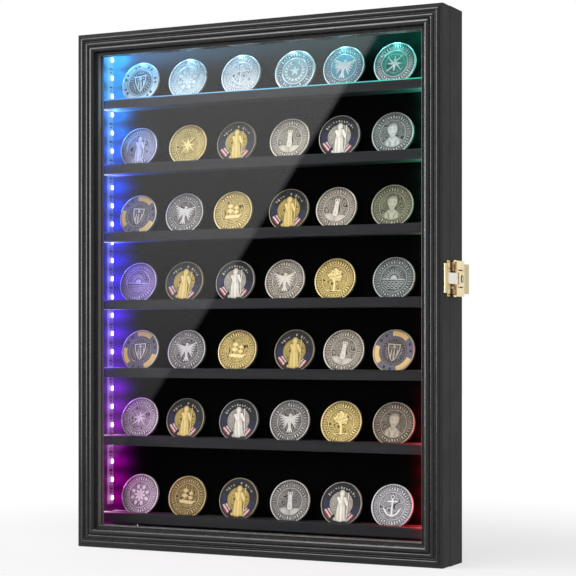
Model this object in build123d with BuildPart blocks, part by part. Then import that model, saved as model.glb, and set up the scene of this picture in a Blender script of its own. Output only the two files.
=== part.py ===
"""Wall or shelf display case for coins: a shallow wooden box, a moulded door with a clear pane,
seven grooved shelves of coins, light strips up the sides and along the top, and a brass draw latch.

Millimetres. +Z is up, +X is to the right and -Y faces the viewer. The origin is on the underside
of the case, midway across its width and midway through the depth of box and door together.
"""
from build123d import *
from math import cos, radians, sin, tan
import os

os.makedirs("parts", exist_ok=True)

# ---- Case ----
case_width = 350.0
case_height = 460.0
box_depth = 28.0
panel_thickness = 12.0
corner_lap = 5.0          # how far the top and bottom panels reach into the side panels
back_thickness = 3.0
back_lap = 5.0            # width of the ledge that carries the back panel
lining_thickness = 0.5
wood_gap = 0.1            # clearance of a glued or slid-in wooden joint
edge_break = 0.5          # chamfer along the seam between box and door

# ---- Shelves, from the lowest up ----
shelf_thickness = 8.5
row_count = 7
lowest_shelf_top = 29.9
bottom_row_extra = 8.3    # the lowest row is this much taller than the middle ones
top_row_less = 2.3        # the last rise is this much shorter than the middle ones
top_room = 44.9           # from the highest shelf to the top panel
shelf_setback = 1.5
dado_depth = 3.0
groove_depth = 3.5
groove_clearance = 0.4

# ---- Coins ----
coin_diameter = 38.1
coin_thickness = 3.0
coin_lean = 14.0
coin_rest = 0.1           # gap between a coin and what it rests on
row_room_left = 13.3      # from the left side panel to a row's first coin
row_room_right = 26.2     # from a row's last coin to the right side panel
wide_gap_extra = 3.4      # the gaps either side of the third coin are this much wider
coin_shifts = [           # steps sideways of single coins as shares of a gap, from the lowest row up
    (0.05, 0.12, 0.12, -0.02, 0.03, -0.1),
    (0.03, -0.07, 0.12, -0.04, 0.02, 0.04),
    (0.08, 0.05, -0.01, 0.4, 0.25, 0.04),
    (-0.12, -0.17, -0.21, -0.5, -0.55, 0.05),
    (-0.12, -0.16, -0.43, -0.13, -0.43, -0.09),
    (-0.06, 0.19, -0.09, -0.05, -0.15, -0.05),
    (0.11, 0.15, 0.33, 0.44, 0.24, 0.13)]

# ---- Light strips ----
strip_width = 8.0
strip_thickness = 1.2
strip_gap = 1.8           # from the strips to the lining
led_size = 5.0
led_height = 1.6
led_pitch = 16.67
strip_relief = 0.6        # air between the strip's lamps and the shelves
strip_end = 0.5           # from a strip's end to the panel or strip that it meets
strip_margin = 5.8        # from an end of the strip to its first lamp

# ---- Door ----
door_thickness = 17.5
seam_gap = 0.5
door_inset = 0.2          # the door is this much smaller than the box on each edge
frame_width = 19.6
outer_flat = 3.0          # members of the moulding, from the outer edge in
outer_depth = 1.7
bead_width = 3.2
bead_rise = 1.4
quirk_width = 0.25
small_bead_width = 1.0
small_bead_rise = 0.4
low_bead_width = 3.6
low_bead_rise = 1.1
sight_flat = 1.4
sight_depth = 4.5
lip_bead_width = 1.1
lip_bead_rise = 0.5
mitre_gap = 0.06
pane_thickness = 2.0
pane_depth = 9.0          # from the front of the door to the front of the pane
pane_lap = 5.0
pane_gap = 0.15
stop_thickness = 4.4
stop_bevel = 1.5

# ---- Hinges ----
leaf_thickness = 1.2
leaf_width = 7.6
leaf_length = 34.0
knuckle_radius = 2.2
hinge_pin_radius = 1.1
knuckle_count = 3
knuckle_gap = 0.12
pin_clearance = 0.05
hinge_offset = 0.2        # from the barrel to the side of the case
hinge_inset = 70.0        # from the top or bottom of the case to the middle of a hinge
leaf_screw_spacing = 21.0
pin_cap_radius = 1.7
pin_cap_height = 0.9

# ---- Draw latch ----
latch_height = 29.4
latch_lift = 6.2          # how far the latch sits above mid height
latch_sheet = 0.9
latch_base_sheet = 0.8
pivot_back = 2.5          # from the front of the box to the lever's pivot
pivot_rise = 2.8          # from the side of the case to the lever's pivot
claw_pin_back = 3.2       # from the lever's pivot to the claw's pin
claw_pin_radius = 0.8
claw_knuckle_radius = 1.7
claw_width = 9.1
claw_bar_radius = 1.6
claw_bar_length = 24.0
claw_reach = 20.5         # from the claw's pin to its bar
claw_bar_rise = 1.75
bar_gap = 0.2
lever_length = 17.5
lever_overhang = 1.1      # how far the lever's plate reaches in front of its pivot
lever_air = 0.1           # between the claw's knuckle and the lever's plate
lip_length = 5.6
lip_rise = 1.9
lip_width = 24.6
lug_inset = 5.5           # from the middle of the latch to a lug's inner face
lug_length = 10.4
slot_width = 1.2
ear_gap = 0.3
rivet_radius = 0.9
boss_radius = 2.9
boss_height = 2.2
boss_back = 10.8          # from the lever's pivot to the boss
base_front = 1.6          # how far the base reaches in front of the pivot
ear_air = 0.2             # between the base's ears and the lever's plate
rivet_tail = 0.4
rivet_head_radius = 1.4
cheek_radius = 1.9
slot_front = 0.6          # both ends of a slot, back from the lever's pivot
slot_back = 13.2
window_radius = 3.4
side_play = 0.2           # between the claw's knuckle and each lug
notch_play = 0.4          # round the claw's stem where it swings through the lever's plate
strike_margin = 0.7       # from the strike to the back edge of the door
strike_depth = 7.4
strike_screw_z = 10.6
hook_play = 0.7           # beside the claw's stem, and short of the ends of its bar

# ---- Screw holes ----
screw_hole_radius = 0.95
screw_head_radius = 2.1
screw_edge = 1.3          # from a screw's head to the edge of the latch's base

# ---- Back of the case ----
hanger_length = 46.0
hanger_height = 8.4
hanger_sheet = 1.1
hanger_inset = 65.0       # from the side of the case to the middle of a hanger
hanger_tab = 7.0
tooth_count = 9
tooth_depth = 2.0
bumper_radius = 4.5
bumper_thickness = 2.2
grommet_bore = 2.0
grommet_neck = 3.4
grommet_flange = 4.4
grommet_lip = 1.2
lead_inset = 25.0         # from the inner face of the left side to the lead hole

# ---- Planes and faces that the pieces share ----
front = -(box_depth + seam_gap + door_thickness) / 2
door_back = front + door_thickness
box_front = door_back + seam_gap
box_back = box_front + box_depth
side = case_width / 2
inner_side = side - panel_thickness
inner_top = case_height - panel_thickness
door_side = side - door_inset
ledge = box_back - back_thickness
lining_front = ledge - lining_thickness
shelf_front = box_front + shelf_setback
shelf_back = lining_front - wood_gap
strip_front = lining_front - strip_gap - strip_width
strip_middle = strip_front + strip_width / 2
notch_front = strip_front - strip_relief
notch_depth = strip_thickness + led_height + strip_relief
latch_z = case_height / 2 + latch_lift
lead_x = -inner_side + lead_inset
hanger_x = side - hanger_inset

shelf_span = inner_top - top_room - lowest_shelf_top
shelf_pitch = (shelf_span - bottom_row_extra + top_row_less) / (row_count - 1)
shelf_tops = [lowest_shelf_top, lowest_shelf_top + shelf_pitch + bottom_row_extra]
while len(shelf_tops) < row_count - 1:
    shelf_tops.append(shelf_tops[-1] + shelf_pitch)
shelf_tops.append(inner_top - top_room)
lining_low = lowest_shelf_top - shelf_thickness

coin_radius = coin_diameter / 2
coin_count = len(coin_shifts[0])
row_room = 2 * inner_side - row_room_left - row_room_right - 2 * wide_gap_extra
coin_gap = (row_room - coin_count * coin_diameter) / (coin_count - 1)
coin_columns = [-inner_side + row_room_left + coin_radius]
for extra in (0, wide_gap_extra, wide_gap_extra, 0, 0):
    coin_columns.append(coin_columns[-1] + coin_diameter + coin_gap + extra)
lean = radians(coin_lean)
coin_y = lining_front - coin_rest - coin_radius * sin(lean) - coin_thickness / 2 * cos(lean)
coin_rise = coin_rest + coin_radius * cos(lean) + coin_thickness / 2 * sin(lean) - groove_depth
groove_front = coin_y - coin_radius * sin(lean) - coin_thickness / 2 * cos(lean) - groove_clearance
groove_back = (coin_y - coin_radius * sin(lean) + coin_thickness / 2 * cos(lean)
               + groove_depth * tan(lean) + groove_clearance)


def save(piece, label):
    """Label a finished piece and write it to its own file."""
    piece.part.label = label
    export_step(piece.part, f"parts/{label}.step")


def block(x, y, z, mode=Mode.ADD):
    """A box between two corners, each axis given as (low, high)."""
    with BuildSketch(Plane.XY.offset(z[0]), mode=Mode.PRIVATE) as base:
        with Locations(((x[0] + x[1]) / 2, (y[0] + y[1]) / 2)):
            Rectangle(x[1] - x[0], y[1] - y[0])
    extrude(base.sketch, amount=z[1] - z[0], mode=mode)


def drill(planes, radius, depth):
    """Round blind holes, one into each plane."""
    for plane in planes:
        with BuildSketch(plane, mode=Mode.PRIVATE) as hole:
            Circle(radius)
        extrude(hole.sketch, amount=-depth, mode=Mode.SUBTRACT)


def span(a, b):
    """Two coordinates in rising order."""
    return (min(a, b), max(a, b))


# ==== Case ====
hanger_z = inner_top + back_lap / 2
hanger_screw_planes = []
for middle in (-hanger_x, hanger_x):
    for sign in (-1, 1):
        spot = (middle + sign * (hanger_length - hanger_tab) / 2, box_back + hanger_sheet, hanger_z)
        hanger_screw_planes.append(Plane(origin=spot, z_dir=(0, 1, 0)))

hinge_x = -side - hinge_offset - knuckle_radius
hinge_y = (door_back + box_front) / 2
hinge_heights = (hinge_inset, case_height - hinge_inset)
leaf_end = -side + leaf_width
leaf_screw_x = -side + leaf_width / 2
case_leaf_planes = []
door_leaf_planes = []
for middle in hinge_heights:
    for z in (middle - leaf_screw_spacing / 2, middle + leaf_screw_spacing / 2):
        case_leaf_planes.append(Plane(origin=(leaf_screw_x, box_front, z), z_dir=(0, -1, 0)))
        door_leaf_planes.append(Plane(origin=(leaf_screw_x, door_back, z), z_dir=(0, 1, 0)))

pivot_y = box_front + pivot_back
boss_y = pivot_y + boss_back
base_half = latch_height / 2 - latch_sheet - ear_gap
base_top = side + latch_base_sheet
latch_side_screw_z = base_half - latch_base_sheet - screw_head_radius - screw_edge
latch_base_planes = []
for sign in (-1, 1):
    spot = (base_top, pivot_y + lever_length - screw_head_radius - screw_edge,
            latch_z + sign * latch_side_screw_z)
    latch_base_planes.append(Plane(origin=spot, z_dir=(1, 0, 0)))
boss_plane = Plane(origin=(base_top + boss_height, boss_y, latch_z), z_dir=(1, 0, 0))


def side_panel(sign, label):
    """One upright side, with its corner laps, back ledge, dadoes and the holes of its fittings."""
    with BuildPart() as panel:
        block(span(sign * inner_side, sign * side), (box_front, box_back), (0, case_height))
        chamfer(panel.edges().filter_by(Axis.Z).group_by(Axis.Y)[0]
                .sort_by(lambda edge: sign * edge.center().X)[-1], edge_break)
        lap = span(sign * inner_side, sign * (inner_side + corner_lap))
        block(lap, (box_front, box_back), (0, panel_thickness), Mode.SUBTRACT)
        block(lap, (box_front, box_back), (inner_top, case_height), Mode.SUBTRACT)
        block(span(sign * inner_side, sign * (inner_side + back_lap)), (ledge, box_back),
              (panel_thickness - back_lap, inner_top + back_lap), Mode.SUBTRACT)
        for top in shelf_tops:
            block(span(sign * inner_side, sign * (inner_side + dado_depth)),
                  (shelf_front - wood_gap, notch_front + wood_gap),
                  (top - shelf_thickness - wood_gap, top + wood_gap), Mode.SUBTRACT)
        if sign < 0:
            for middle in hinge_heights:
                block((-side, leaf_end + wood_gap), (box_front, box_front + leaf_thickness),
                      (middle - leaf_length / 2 - wood_gap, middle + leaf_length / 2 + wood_gap),
                      Mode.SUBTRACT)
    save(panel, label)


side_panel(-1, "side_panel_left")
side_panel(1, "side_panel_right")

cap_half = inner_side + corner_lap - wood_gap
with BuildPart() as top_panel:
    block((-cap_half, cap_half), (box_front, box_back), (inner_top + wood_gap, case_height))
    chamfer(top_panel.edges().filter_by(Axis.X).group_by(Axis.Y)[0].sort_by(Axis.Z)[-1], edge_break)
    block((-inner_side - back_lap, inner_side + back_lap), (ledge, box_back),
          (inner_top, inner_top + back_lap), Mode.SUBTRACT)
save(top_panel, "top_panel")

with BuildPart() as bottom_panel:
    block((-cap_half, cap_half), (box_front, box_back), (0, panel_thickness - wood_gap))
    chamfer(bottom_panel.edges().filter_by(Axis.X).group_by(Axis.Y)[0].sort_by(Axis.Z)[0], edge_break)
    block((-inner_side - back_lap, inner_side + back_lap), (ledge, box_back),
          (panel_thickness - back_lap, panel_thickness), Mode.SUBTRACT)
save(bottom_panel, "bottom_panel")

cavity_middle = (panel_thickness + lowest_shelf_top - shelf_thickness) / 2
lead_plane = Plane(origin=(lead_x, box_back, cavity_middle), z_dir=(0, 1, 0))
back_half = inner_side + back_lap - wood_gap
with BuildPart() as back_panel:
    block((-back_half, back_half), (ledge, box_back),
          (panel_thickness - back_lap + wood_gap, inner_top + back_lap - wood_gap))
    drill([lead_plane], grommet_neck + wood_gap, back_thickness)
save(back_panel, "back_panel")

with BuildPart() as back_lining:
    block((-inner_side + wood_gap, inner_side - wood_gap), (lining_front, ledge),
          (lining_low, inner_top - wood_gap))
save(back_lining, "back_lining")

with BuildPart() as lead_grommet:
    for depth, radius in ((grommet_lip, grommet_flange), (-back_thickness, grommet_neck)):
        with BuildSketch(lead_plane):
            Circle(radius)
        extrude(amount=depth)
    with BuildSketch(lead_plane.offset(-back_thickness)):
        Circle(grommet_flange)
    extrude(amount=-grommet_lip)
    drill([lead_plane.offset(grommet_lip)], grommet_bore, back_thickness + 2 * grommet_lip)
save(lead_grommet, "lead_grommet")

bumper_x = side - panel_thickness / 2
with BuildPart() as wall_bumpers:
    for x in (-bumper_x, bumper_x):
        with BuildSketch(Plane(origin=(x, box_back, 2 * panel_thickness), z_dir=(0, 1, 0))):
            Circle(bumper_radius)
        extrude(amount=bumper_thickness, taper=8)
save(wall_bumpers, "wall_bumpers")


def hanger(middle, label):
    """A sawtooth hanger: two screwed tabs and a raised bar with teeth along its lower edge."""
    arch = hanger_length / 2 - hanger_tab
    pitch = 2 * arch / (tooth_count + 1)
    low = -hanger_height / 2
    outline = [(-arch - hanger_sheet, hanger_height / 2), (-arch - hanger_sheet, low),
               (-arch + pitch / 2, low)]
    for tooth in range(tooth_count):
        start = -arch + pitch * (tooth + 0.5)
        outline.append((start + pitch / 2, low + tooth_depth))
        outline.append((start + pitch, low))
    outline += [(arch + hanger_sheet, low), (arch + hanger_sheet, hanger_height / 2)]
    base = Plane(origin=(middle, box_back, hanger_z), x_dir=(-1, 0, 0), z_dir=(0, 1, 0))
    with BuildPart() as plate:
        with BuildSketch(base):
            with Locations((-(hanger_length - hanger_tab) / 2, 0), ((hanger_length - hanger_tab) / 2, 0)):
                RectangleRounded(hanger_tab, hanger_height, 1.5)
        extrude(amount=hanger_sheet)
        with BuildSketch(base.offset(hanger_sheet)):
            with BuildLine():
                Polyline(outline, close=True)
            make_face()
        extrude(amount=hanger_sheet)
        drill([p.offset(hanger_sheet) for p in hanger_screw_planes if p.origin.X * middle > 0],
              screw_hole_radius, 3 * hanger_sheet)
    save(plate, label)


hanger(-hanger_x, "hanger_left")
hanger(hanger_x, "hanger_right")

# ==== Shelves and coins ====
for row, top in enumerate(shelf_tops, start=1):
    with BuildPart() as shelf:
        reach = inner_side + dado_depth - wood_gap
        block((-reach, reach), (shelf_front, shelf_back), (top - shelf_thickness, top))
        block((-reach, reach), (groove_front, groove_back), (top - groove_depth, top), Mode.SUBTRACT)
        for sign in (-1, 1):
            block(span(sign * (inner_side - notch_depth), sign * reach), (notch_front, shelf_back),
                  (top - shelf_thickness, top), Mode.SUBTRACT)
    save(shelf, f"shelf_{row}")

    with BuildPart() as coin_row:
        for column, shift in zip(coin_columns, coin_shifts[row - 1]):
            face = Plane(origin=(column + shift * coin_gap, coin_y, top + coin_rise), z_dir=(0, -cos(lean), sin(lean)))
            with BuildSketch(face.offset(-coin_thickness / 2)):
                Circle(coin_radius)
            extrude(amount=coin_thickness)
    save(coin_row, f"coin_row_{row}")

# ==== Light strips ====
strip_top = inner_top - strip_end
strip_inner = inner_side - strip_thickness
led_steps = int((strip_top - lining_low - 2 * strip_margin) / led_pitch)
strip_low = strip_top - 2 * strip_margin - led_steps * led_pitch
for sign, word in ((-1, "left"), (1, "right")):
    with BuildPart() as strip:
        block(span(sign * strip_inner, sign * inner_side),
              (strip_front, strip_front + strip_width), (strip_low, strip_top))
    save(strip, f"light_strip_{word}")
    with BuildPart() as lamps:
        for index in range(led_steps + 1):
            z = strip_top - strip_margin - index * led_pitch
            block(span(sign * strip_inner, sign * (strip_inner - led_height)),
                  (strip_middle - led_size / 2, strip_middle + led_size / 2),
                  (z - led_size / 2, z + led_size / 2))
    save(lamps, f"lamps_{word}")

top_reach = strip_inner - strip_end
top_steps = int(2 * (top_reach - strip_margin) / led_pitch)
with BuildPart() as top_strip:
    block((-top_reach, top_reach), (strip_front, strip_front + strip_width),
          (inner_top - strip_thickness, inner_top))
save(top_strip, "light_strip_top")
with BuildPart() as top_lamps:
    for index in range(top_steps + 1):
        x = (index - top_steps / 2) * led_pitch
        block((x - led_size / 2, x + led_size / 2),
              (strip_middle - led_size / 2, strip_middle + led_size / 2),
              (inner_top - strip_thickness - led_height, inner_top - strip_thickness))
save(top_lamps, "lamps_top")

# ==== Door ====
door_low = door_inset
door_high = case_height - door_inset
sight_x = door_side - frame_width
sight_low = door_low + frame_width
sight_high = door_high - frame_width
strike_face = Plane(origin=(door_side, 0, latch_z), z_dir=(1, 0, 0))
strike_back = door_back - strike_margin
strike_screw_y = strike_back - strike_depth / 2
strike_planes = []
for sign in (-1, 1):
    spot = (door_side + latch_base_sheet, strike_screw_y, latch_z + sign * strike_screw_z)
    strike_planes.append(Plane(origin=spot, z_dir=(1, 0, 0)))


beads = []
bead_start = outer_flat
for width, rise in ((bead_width, bead_rise), (small_bead_width, small_bead_rise),
                    (low_bead_width, low_bead_rise)):
    beads.append((bead_start, bead_start + width / 2, bead_start + width, rise))
    bead_start += width + quirk_width
round_start = bead_start
lip_start = frame_width - lip_bead_width
round_end = lip_start - sight_flat


def along(share):
    """A place across the moulding's broad round, from its outer end (0) to its inner end (1)."""
    return round_start + share * (round_end - round_start)


def frame_member(plane, length, label, hinged=False):
    """A length of door moulding along a plane's normal, mitred at both ends.

    In the plane, x runs inwards from the door's outer edge and y back from its front.
    """
    with BuildPart() as member:
        with BuildSketch(plane):
            with BuildLine():
                Polyline((0, door_thickness), (0, outer_depth), (outer_flat, outer_depth))
                for start, middle, end, rise in beads:
                    ThreePointArc((start, outer_depth), (middle, outer_depth - rise), (end, outer_depth))
                    Line((end, outer_depth), (end + quirk_width, outer_depth))
                ThreePointArc((round_start, outer_depth), (along(0.18), 0.3 * outer_depth),
                              (along(0.42), 0))
                ThreePointArc((along(0.42), 0), (along(0.72), 0.16 * sight_depth),
                              (along(0.88), 0.6 * sight_depth))
                ThreePointArc((along(0.88), 0.6 * sight_depth), (along(0.93), 0.88 * sight_depth),
                              (round_end, sight_depth))
                Line((round_end, sight_depth), (lip_start, sight_depth))
                ThreePointArc((lip_start, sight_depth),
                              ((lip_start + frame_width) / 2, sight_depth - lip_bead_rise),
                              (frame_width, sight_depth))
                Polyline((frame_width, sight_depth), (frame_width, pane_depth),
                         (frame_width - pane_lap, pane_depth), (frame_width - pane_lap, door_thickness),
                         (0, door_thickness))
            make_face()
        extrude(amount=length)
        near = plane.origin + plane.z_dir * (mitre_gap / 2)
        far = plane.origin + plane.z_dir * (length - mitre_gap / 2)
        split(bisect_by=Plane(origin=near, z_dir=plane.z_dir - plane.x_dir), keep=Keep.TOP)
        split(bisect_by=Plane(origin=far, z_dir=-plane.z_dir - plane.x_dir), keep=Keep.TOP)
        if hinged:
            for middle in hinge_heights:
                block((-side, leaf_end + wood_gap), (door_back - leaf_thickness, door_back),
                      (middle - leaf_length / 2 - wood_gap, middle + leaf_length / 2 + wood_gap),
                      Mode.SUBTRACT)
    save(member, label)


stile_length = door_high - door_low
rail_length = 2 * door_side
frame_member(Plane(origin=(-door_side, front, door_low), x_dir=(1, 0, 0), z_dir=(0, 0, 1)),
             stile_length, "door_stile_left", hinged=True)
frame_member(Plane(origin=(door_side, front, door_high), x_dir=(-1, 0, 0), z_dir=(0, 0, -1)),
             stile_length, "door_stile_right")
frame_member(Plane(origin=(door_side, front, door_low), x_dir=(0, 0, 1), z_dir=(-1, 0, 0)),
             rail_length, "door_rail_bottom")
frame_member(Plane(origin=(-door_side, front, door_high), x_dir=(0, 0, -1), z_dir=(1, 0, 0)),
             rail_length, "door_rail_top")

pane_front = front + pane_depth
pane_back = pane_front + pane_thickness
pane_reach = pane_lap - pane_gap
with BuildPart() as pane:
    block((-sight_x - pane_reach, sight_x + pane_reach), (pane_front, pane_back),
          (sight_low - pane_reach, sight_high + pane_reach))
save(pane, "pane")

stop_front = pane_back + pane_gap
stop_back = stop_front + stop_thickness
stop_level = (stop_front, stop_back)
stop_x = (sight_x, sight_x + pane_reach)
for word, low in (("bottom", sight_low - pane_reach), ("top", sight_high)):
    with BuildPart() as stop:
        block((-stop_x[1], stop_x[1]), stop_level, (low, low + pane_reach))
        inner = stop.edges().filter_by(Axis.X).group_by(Axis.Y)[-1].sort_by(Axis.Z)
        chamfer(inner[-1 if word == "bottom" else 0], stop_bevel)
    save(stop, f"pane_stop_{word}")
for sign, word in ((-1, "left"), (1, "right")):
    with BuildPart() as stop:
        block(span(sign * stop_x[0], sign * stop_x[1]), stop_level,
              (sight_low + wood_gap, sight_high - wood_gap))
        inner = stop.edges().filter_by(Axis.Z).group_by(Axis.Y)[-1].sort_by(Axis.X)
        chamfer(inner[-1 if sign < 0 else 0], stop_bevel)
    save(stop, f"pane_stop_{word}")

# ==== Hinges ====
knuckle_length = leaf_length / knuckle_count


def leaf(middle, first, plate_y, planes, label):
    """One leaf: a plate let into the wood, every other knuckle of the barrel, two screw holes."""
    low = middle - leaf_length / 2
    with BuildPart() as piece:
        block((hinge_x, leaf_end), plate_y, (low, low + leaf_length))
        for index in range(knuckle_count):
            own = index % 2 == first
            start = low + index * knuckle_length + (knuckle_gap / 2 if own else -knuckle_gap / 2)
            with BuildSketch(Plane(origin=(hinge_x, hinge_y, start))):
                Circle(knuckle_radius + (0 if own else knuckle_gap))
            height = knuckle_length + (-knuckle_gap if own else knuckle_gap)
            extrude(amount=height, mode=Mode.ADD if own else Mode.SUBTRACT)
        with BuildSketch(Plane(origin=(hinge_x, hinge_y, low - knuckle_gap))):
            Circle(hinge_pin_radius + pin_clearance)
        extrude(amount=leaf_length + 2 * knuckle_gap, mode=Mode.SUBTRACT)
        drill([plane for plane in planes if abs(plane.origin.Z - middle) < leaf_length / 2],
              screw_hole_radius, leaf_thickness)
    save(piece, label)


for middle, word in zip(hinge_heights, ("lower", "upper")):
    leaf(middle, 0, (box_front, box_front + leaf_thickness), case_leaf_planes, f"case_leaf_{word}")
    leaf(middle, 1, (door_back - leaf_thickness, door_back), door_leaf_planes, f"door_leaf_{word}")
    with BuildPart() as hinge_pin:
        low = middle - leaf_length / 2 - pin_cap_height
        with BuildSketch(Plane(origin=(hinge_x, hinge_y, low))):
            Circle(hinge_pin_radius)
        extrude(amount=leaf_length + 2 * pin_cap_height)
        for z, rise in ((low, pin_cap_height - knuckle_gap / 2),
                        (low + leaf_length + pin_cap_height + knuckle_gap / 2, pin_cap_height)):
            with BuildSketch(Plane(origin=(hinge_x, hinge_y, z))):
                Circle(pin_cap_radius)
            extrude(amount=rise)
    save(hinge_pin, f"hinge_pin_{word}")

# ==== Draw latch ====
# Sections lie level at the middle of the latch: x out from the side of the case, y back from the pivot.
section = Plane(origin=(side, pivot_y, latch_z))
claw_pin_rise = pivot_rise
plate_in = claw_pin_rise + claw_knuckle_radius + lever_air
plate_out = plate_in + latch_sheet
lever_half = latch_height / 2
plate_end = lever_length - lever_overhang
bar_y = claw_pin_back - claw_reach


def layer(points, low, high, mode=Mode.ADD):
    """A flat outline in the latch's section, made solid between two heights from its middle."""
    with BuildSketch(section.offset(low), mode=Mode.PRIVATE) as outline:
        with BuildLine():
            Polyline(points, close=True)
        make_face()
    extrude(outline.sketch, amount=high - low, mode=mode)


def round_layer(spot, radius, low, high, mode=Mode.ADD):
    """A round bar or hole across the latch's section between two heights from its middle."""
    with BuildSketch(section.offset(low), mode=Mode.PRIVATE) as disc:
        with Locations(spot):
            Circle(radius)
    extrude(disc.sketch, amount=high - low, mode=mode)


ear_radius = plate_in - pivot_rise - ear_air
with BuildPart() as latch_base:
    layer([(0, -base_front), (latch_base_sheet, -base_front), (latch_base_sheet, lever_length),
           (0, lever_length)], -base_half, base_half)
    for low in (-base_half, base_half - latch_base_sheet):
        high = low + latch_base_sheet
        layer([(0, -ear_radius), (pivot_rise, -ear_radius), (pivot_rise, ear_radius), (0, ear_radius)],
              low, high)
        round_layer((pivot_rise, 0), ear_radius, low, high)
    with BuildSketch(boss_plane.offset(-boss_height)):
        Circle(boss_radius)
    extrude(amount=boss_height, taper=10)
    drill([boss_plane], screw_hole_radius, boss_height + latch_base_sheet)
    drill(latch_base_planes, screw_hole_radius, latch_base_sheet)
    round_layer((pivot_rise, 0), rivet_radius + pin_clearance, -base_half, base_half, Mode.SUBTRACT)
save(latch_base, "latch_base")

with BuildPart() as latch_rivets:
    for sign in (-1, 1):
        inner_end = base_half - latch_base_sheet - rivet_tail
        outer_end = lever_half + pin_clearance
        round_layer((pivot_rise, 0), rivet_radius, *span(sign * inner_end, sign * outer_end))
        round_layer((pivot_rise, 0), rivet_head_radius,
                    *span(sign * outer_end, sign * (outer_end + rivet_tail)))
save(latch_rivets, "latch_rivets")

cheek_low = pivot_rise - cheek_radius
with BuildPart() as latch_lever:
    layer([(plate_in, -lever_overhang), (plate_out, -lever_overhang), (plate_out, plate_end),
           (plate_in, plate_end)], -lever_half, lever_half)
    layer([(plate_in, plate_end), (plate_out, plate_end), (plate_out + lip_rise, plate_end + lip_length),
           (plate_in + lip_rise, plate_end + lip_length)], -lip_width / 2, lip_width / 2)
    for low in (-lever_half, lever_half - latch_sheet):
        high = low + latch_sheet
        layer([(plate_out, -lever_overhang), (pivot_rise, -cheek_radius), (cheek_low, 0),
               (cheek_low, cheek_radius), (plate_in, plate_end - 2), (plate_out, plate_end)], low, high)
        round_layer((pivot_rise, 0), cheek_radius, low, high)
    for low in (-lug_inset - latch_sheet, lug_inset):
        high = low + latch_sheet
        lug_front = claw_pin_back - claw_knuckle_radius
        layer([(plate_in, lug_front), (claw_pin_rise, lug_front),
               (claw_pin_rise - claw_knuckle_radius, claw_pin_back - 0.8),
               (claw_pin_rise - claw_knuckle_radius, claw_pin_back + 1.5),
               (claw_pin_rise + 0.6, lug_front + lug_length), (plate_in, lug_front + lug_length)], low, high)
    for sign in (-1, 1):
        slot = span(sign * (lug_inset + latch_sheet), sign * (lug_inset + latch_sheet + slot_width))
        layer([(plate_in, slot_front), (plate_out, slot_front), (plate_out, slot_back),
               (plate_in, slot_back)], *slot, Mode.SUBTRACT)
    for low in (-lever_half, lever_half - latch_sheet):
        round_layer((pivot_rise, 0), rivet_radius + pin_clearance, low, low + latch_sheet, Mode.SUBTRACT)
    round_layer((claw_pin_rise, claw_pin_back), claw_pin_radius + pin_clearance,
                -lug_inset - latch_sheet, lug_inset + latch_sheet, Mode.SUBTRACT)
    notch_back = claw_pin_back + claw_knuckle_radius + notch_play
    layer([(plate_in, -lever_overhang), (plate_out, -lever_overhang), (plate_out, notch_back),
           (plate_in, notch_back)], -claw_width / 2 - notch_play, claw_width / 2 + notch_play, Mode.SUBTRACT)
    with BuildSketch(Plane(origin=(side + plate_in, boss_y, latch_z), z_dir=(1, 0, 0))):
        Circle(window_radius)
    extrude(amount=latch_sheet, mode=Mode.SUBTRACT)
save(latch_lever, "latch_lever")

with BuildPart() as claw_pin:
    round_layer((claw_pin_rise, claw_pin_back), claw_pin_radius,
                -lug_inset - latch_sheet - rivet_tail, lug_inset + latch_sheet + rivet_tail)
save(claw_pin, "claw_pin")

bar_top = claw_bar_rise + claw_bar_radius
knuckle_top = claw_pin_rise + claw_knuckle_radius
with BuildPart() as latch_claw:
    layer([(bar_top, bar_y), (knuckle_top, claw_pin_back), (knuckle_top - latch_sheet, claw_pin_back),
           (bar_top - latch_sheet, bar_y)], -claw_width / 2, claw_width / 2)
    round_layer((claw_bar_rise, bar_y), claw_bar_radius, -claw_bar_length / 2, claw_bar_length / 2)
    round_layer((claw_pin_rise, claw_pin_back), claw_knuckle_radius,
                -lug_inset + side_play, lug_inset - side_play)
    round_layer((claw_pin_rise, claw_pin_back), claw_pin_radius + pin_clearance,
                -lug_inset, lug_inset, Mode.SUBTRACT)
save(latch_claw, "latch_claw")

hook_y = pivot_y + bar_y + claw_bar_radius + bar_gap
with BuildPart() as latch_strike:
    plate_x = (door_side, door_side + latch_base_sheet)
    block(plate_x, (strike_back - strike_depth, strike_back), (latch_z - lever_half, latch_z + lever_half))
    block(plate_x, (hook_y, strike_back), (latch_z - claw_bar_length / 2, latch_z + claw_bar_length / 2))
    for sign in (-1, 1):
        block((door_side, side + bar_top), (hook_y, hook_y + latch_base_sheet),
              span(latch_z + sign * (claw_width / 2 + hook_play),
                   latch_z + sign * (claw_bar_length / 2 - hook_play)))
    drill(strike_planes, screw_hole_radius, latch_base_sheet)
save(latch_strike, "latch_strike")
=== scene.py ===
import bpy
import math
import numpy as np
from functools import partial, reduce
from mathutils import Matrix, Vector


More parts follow.
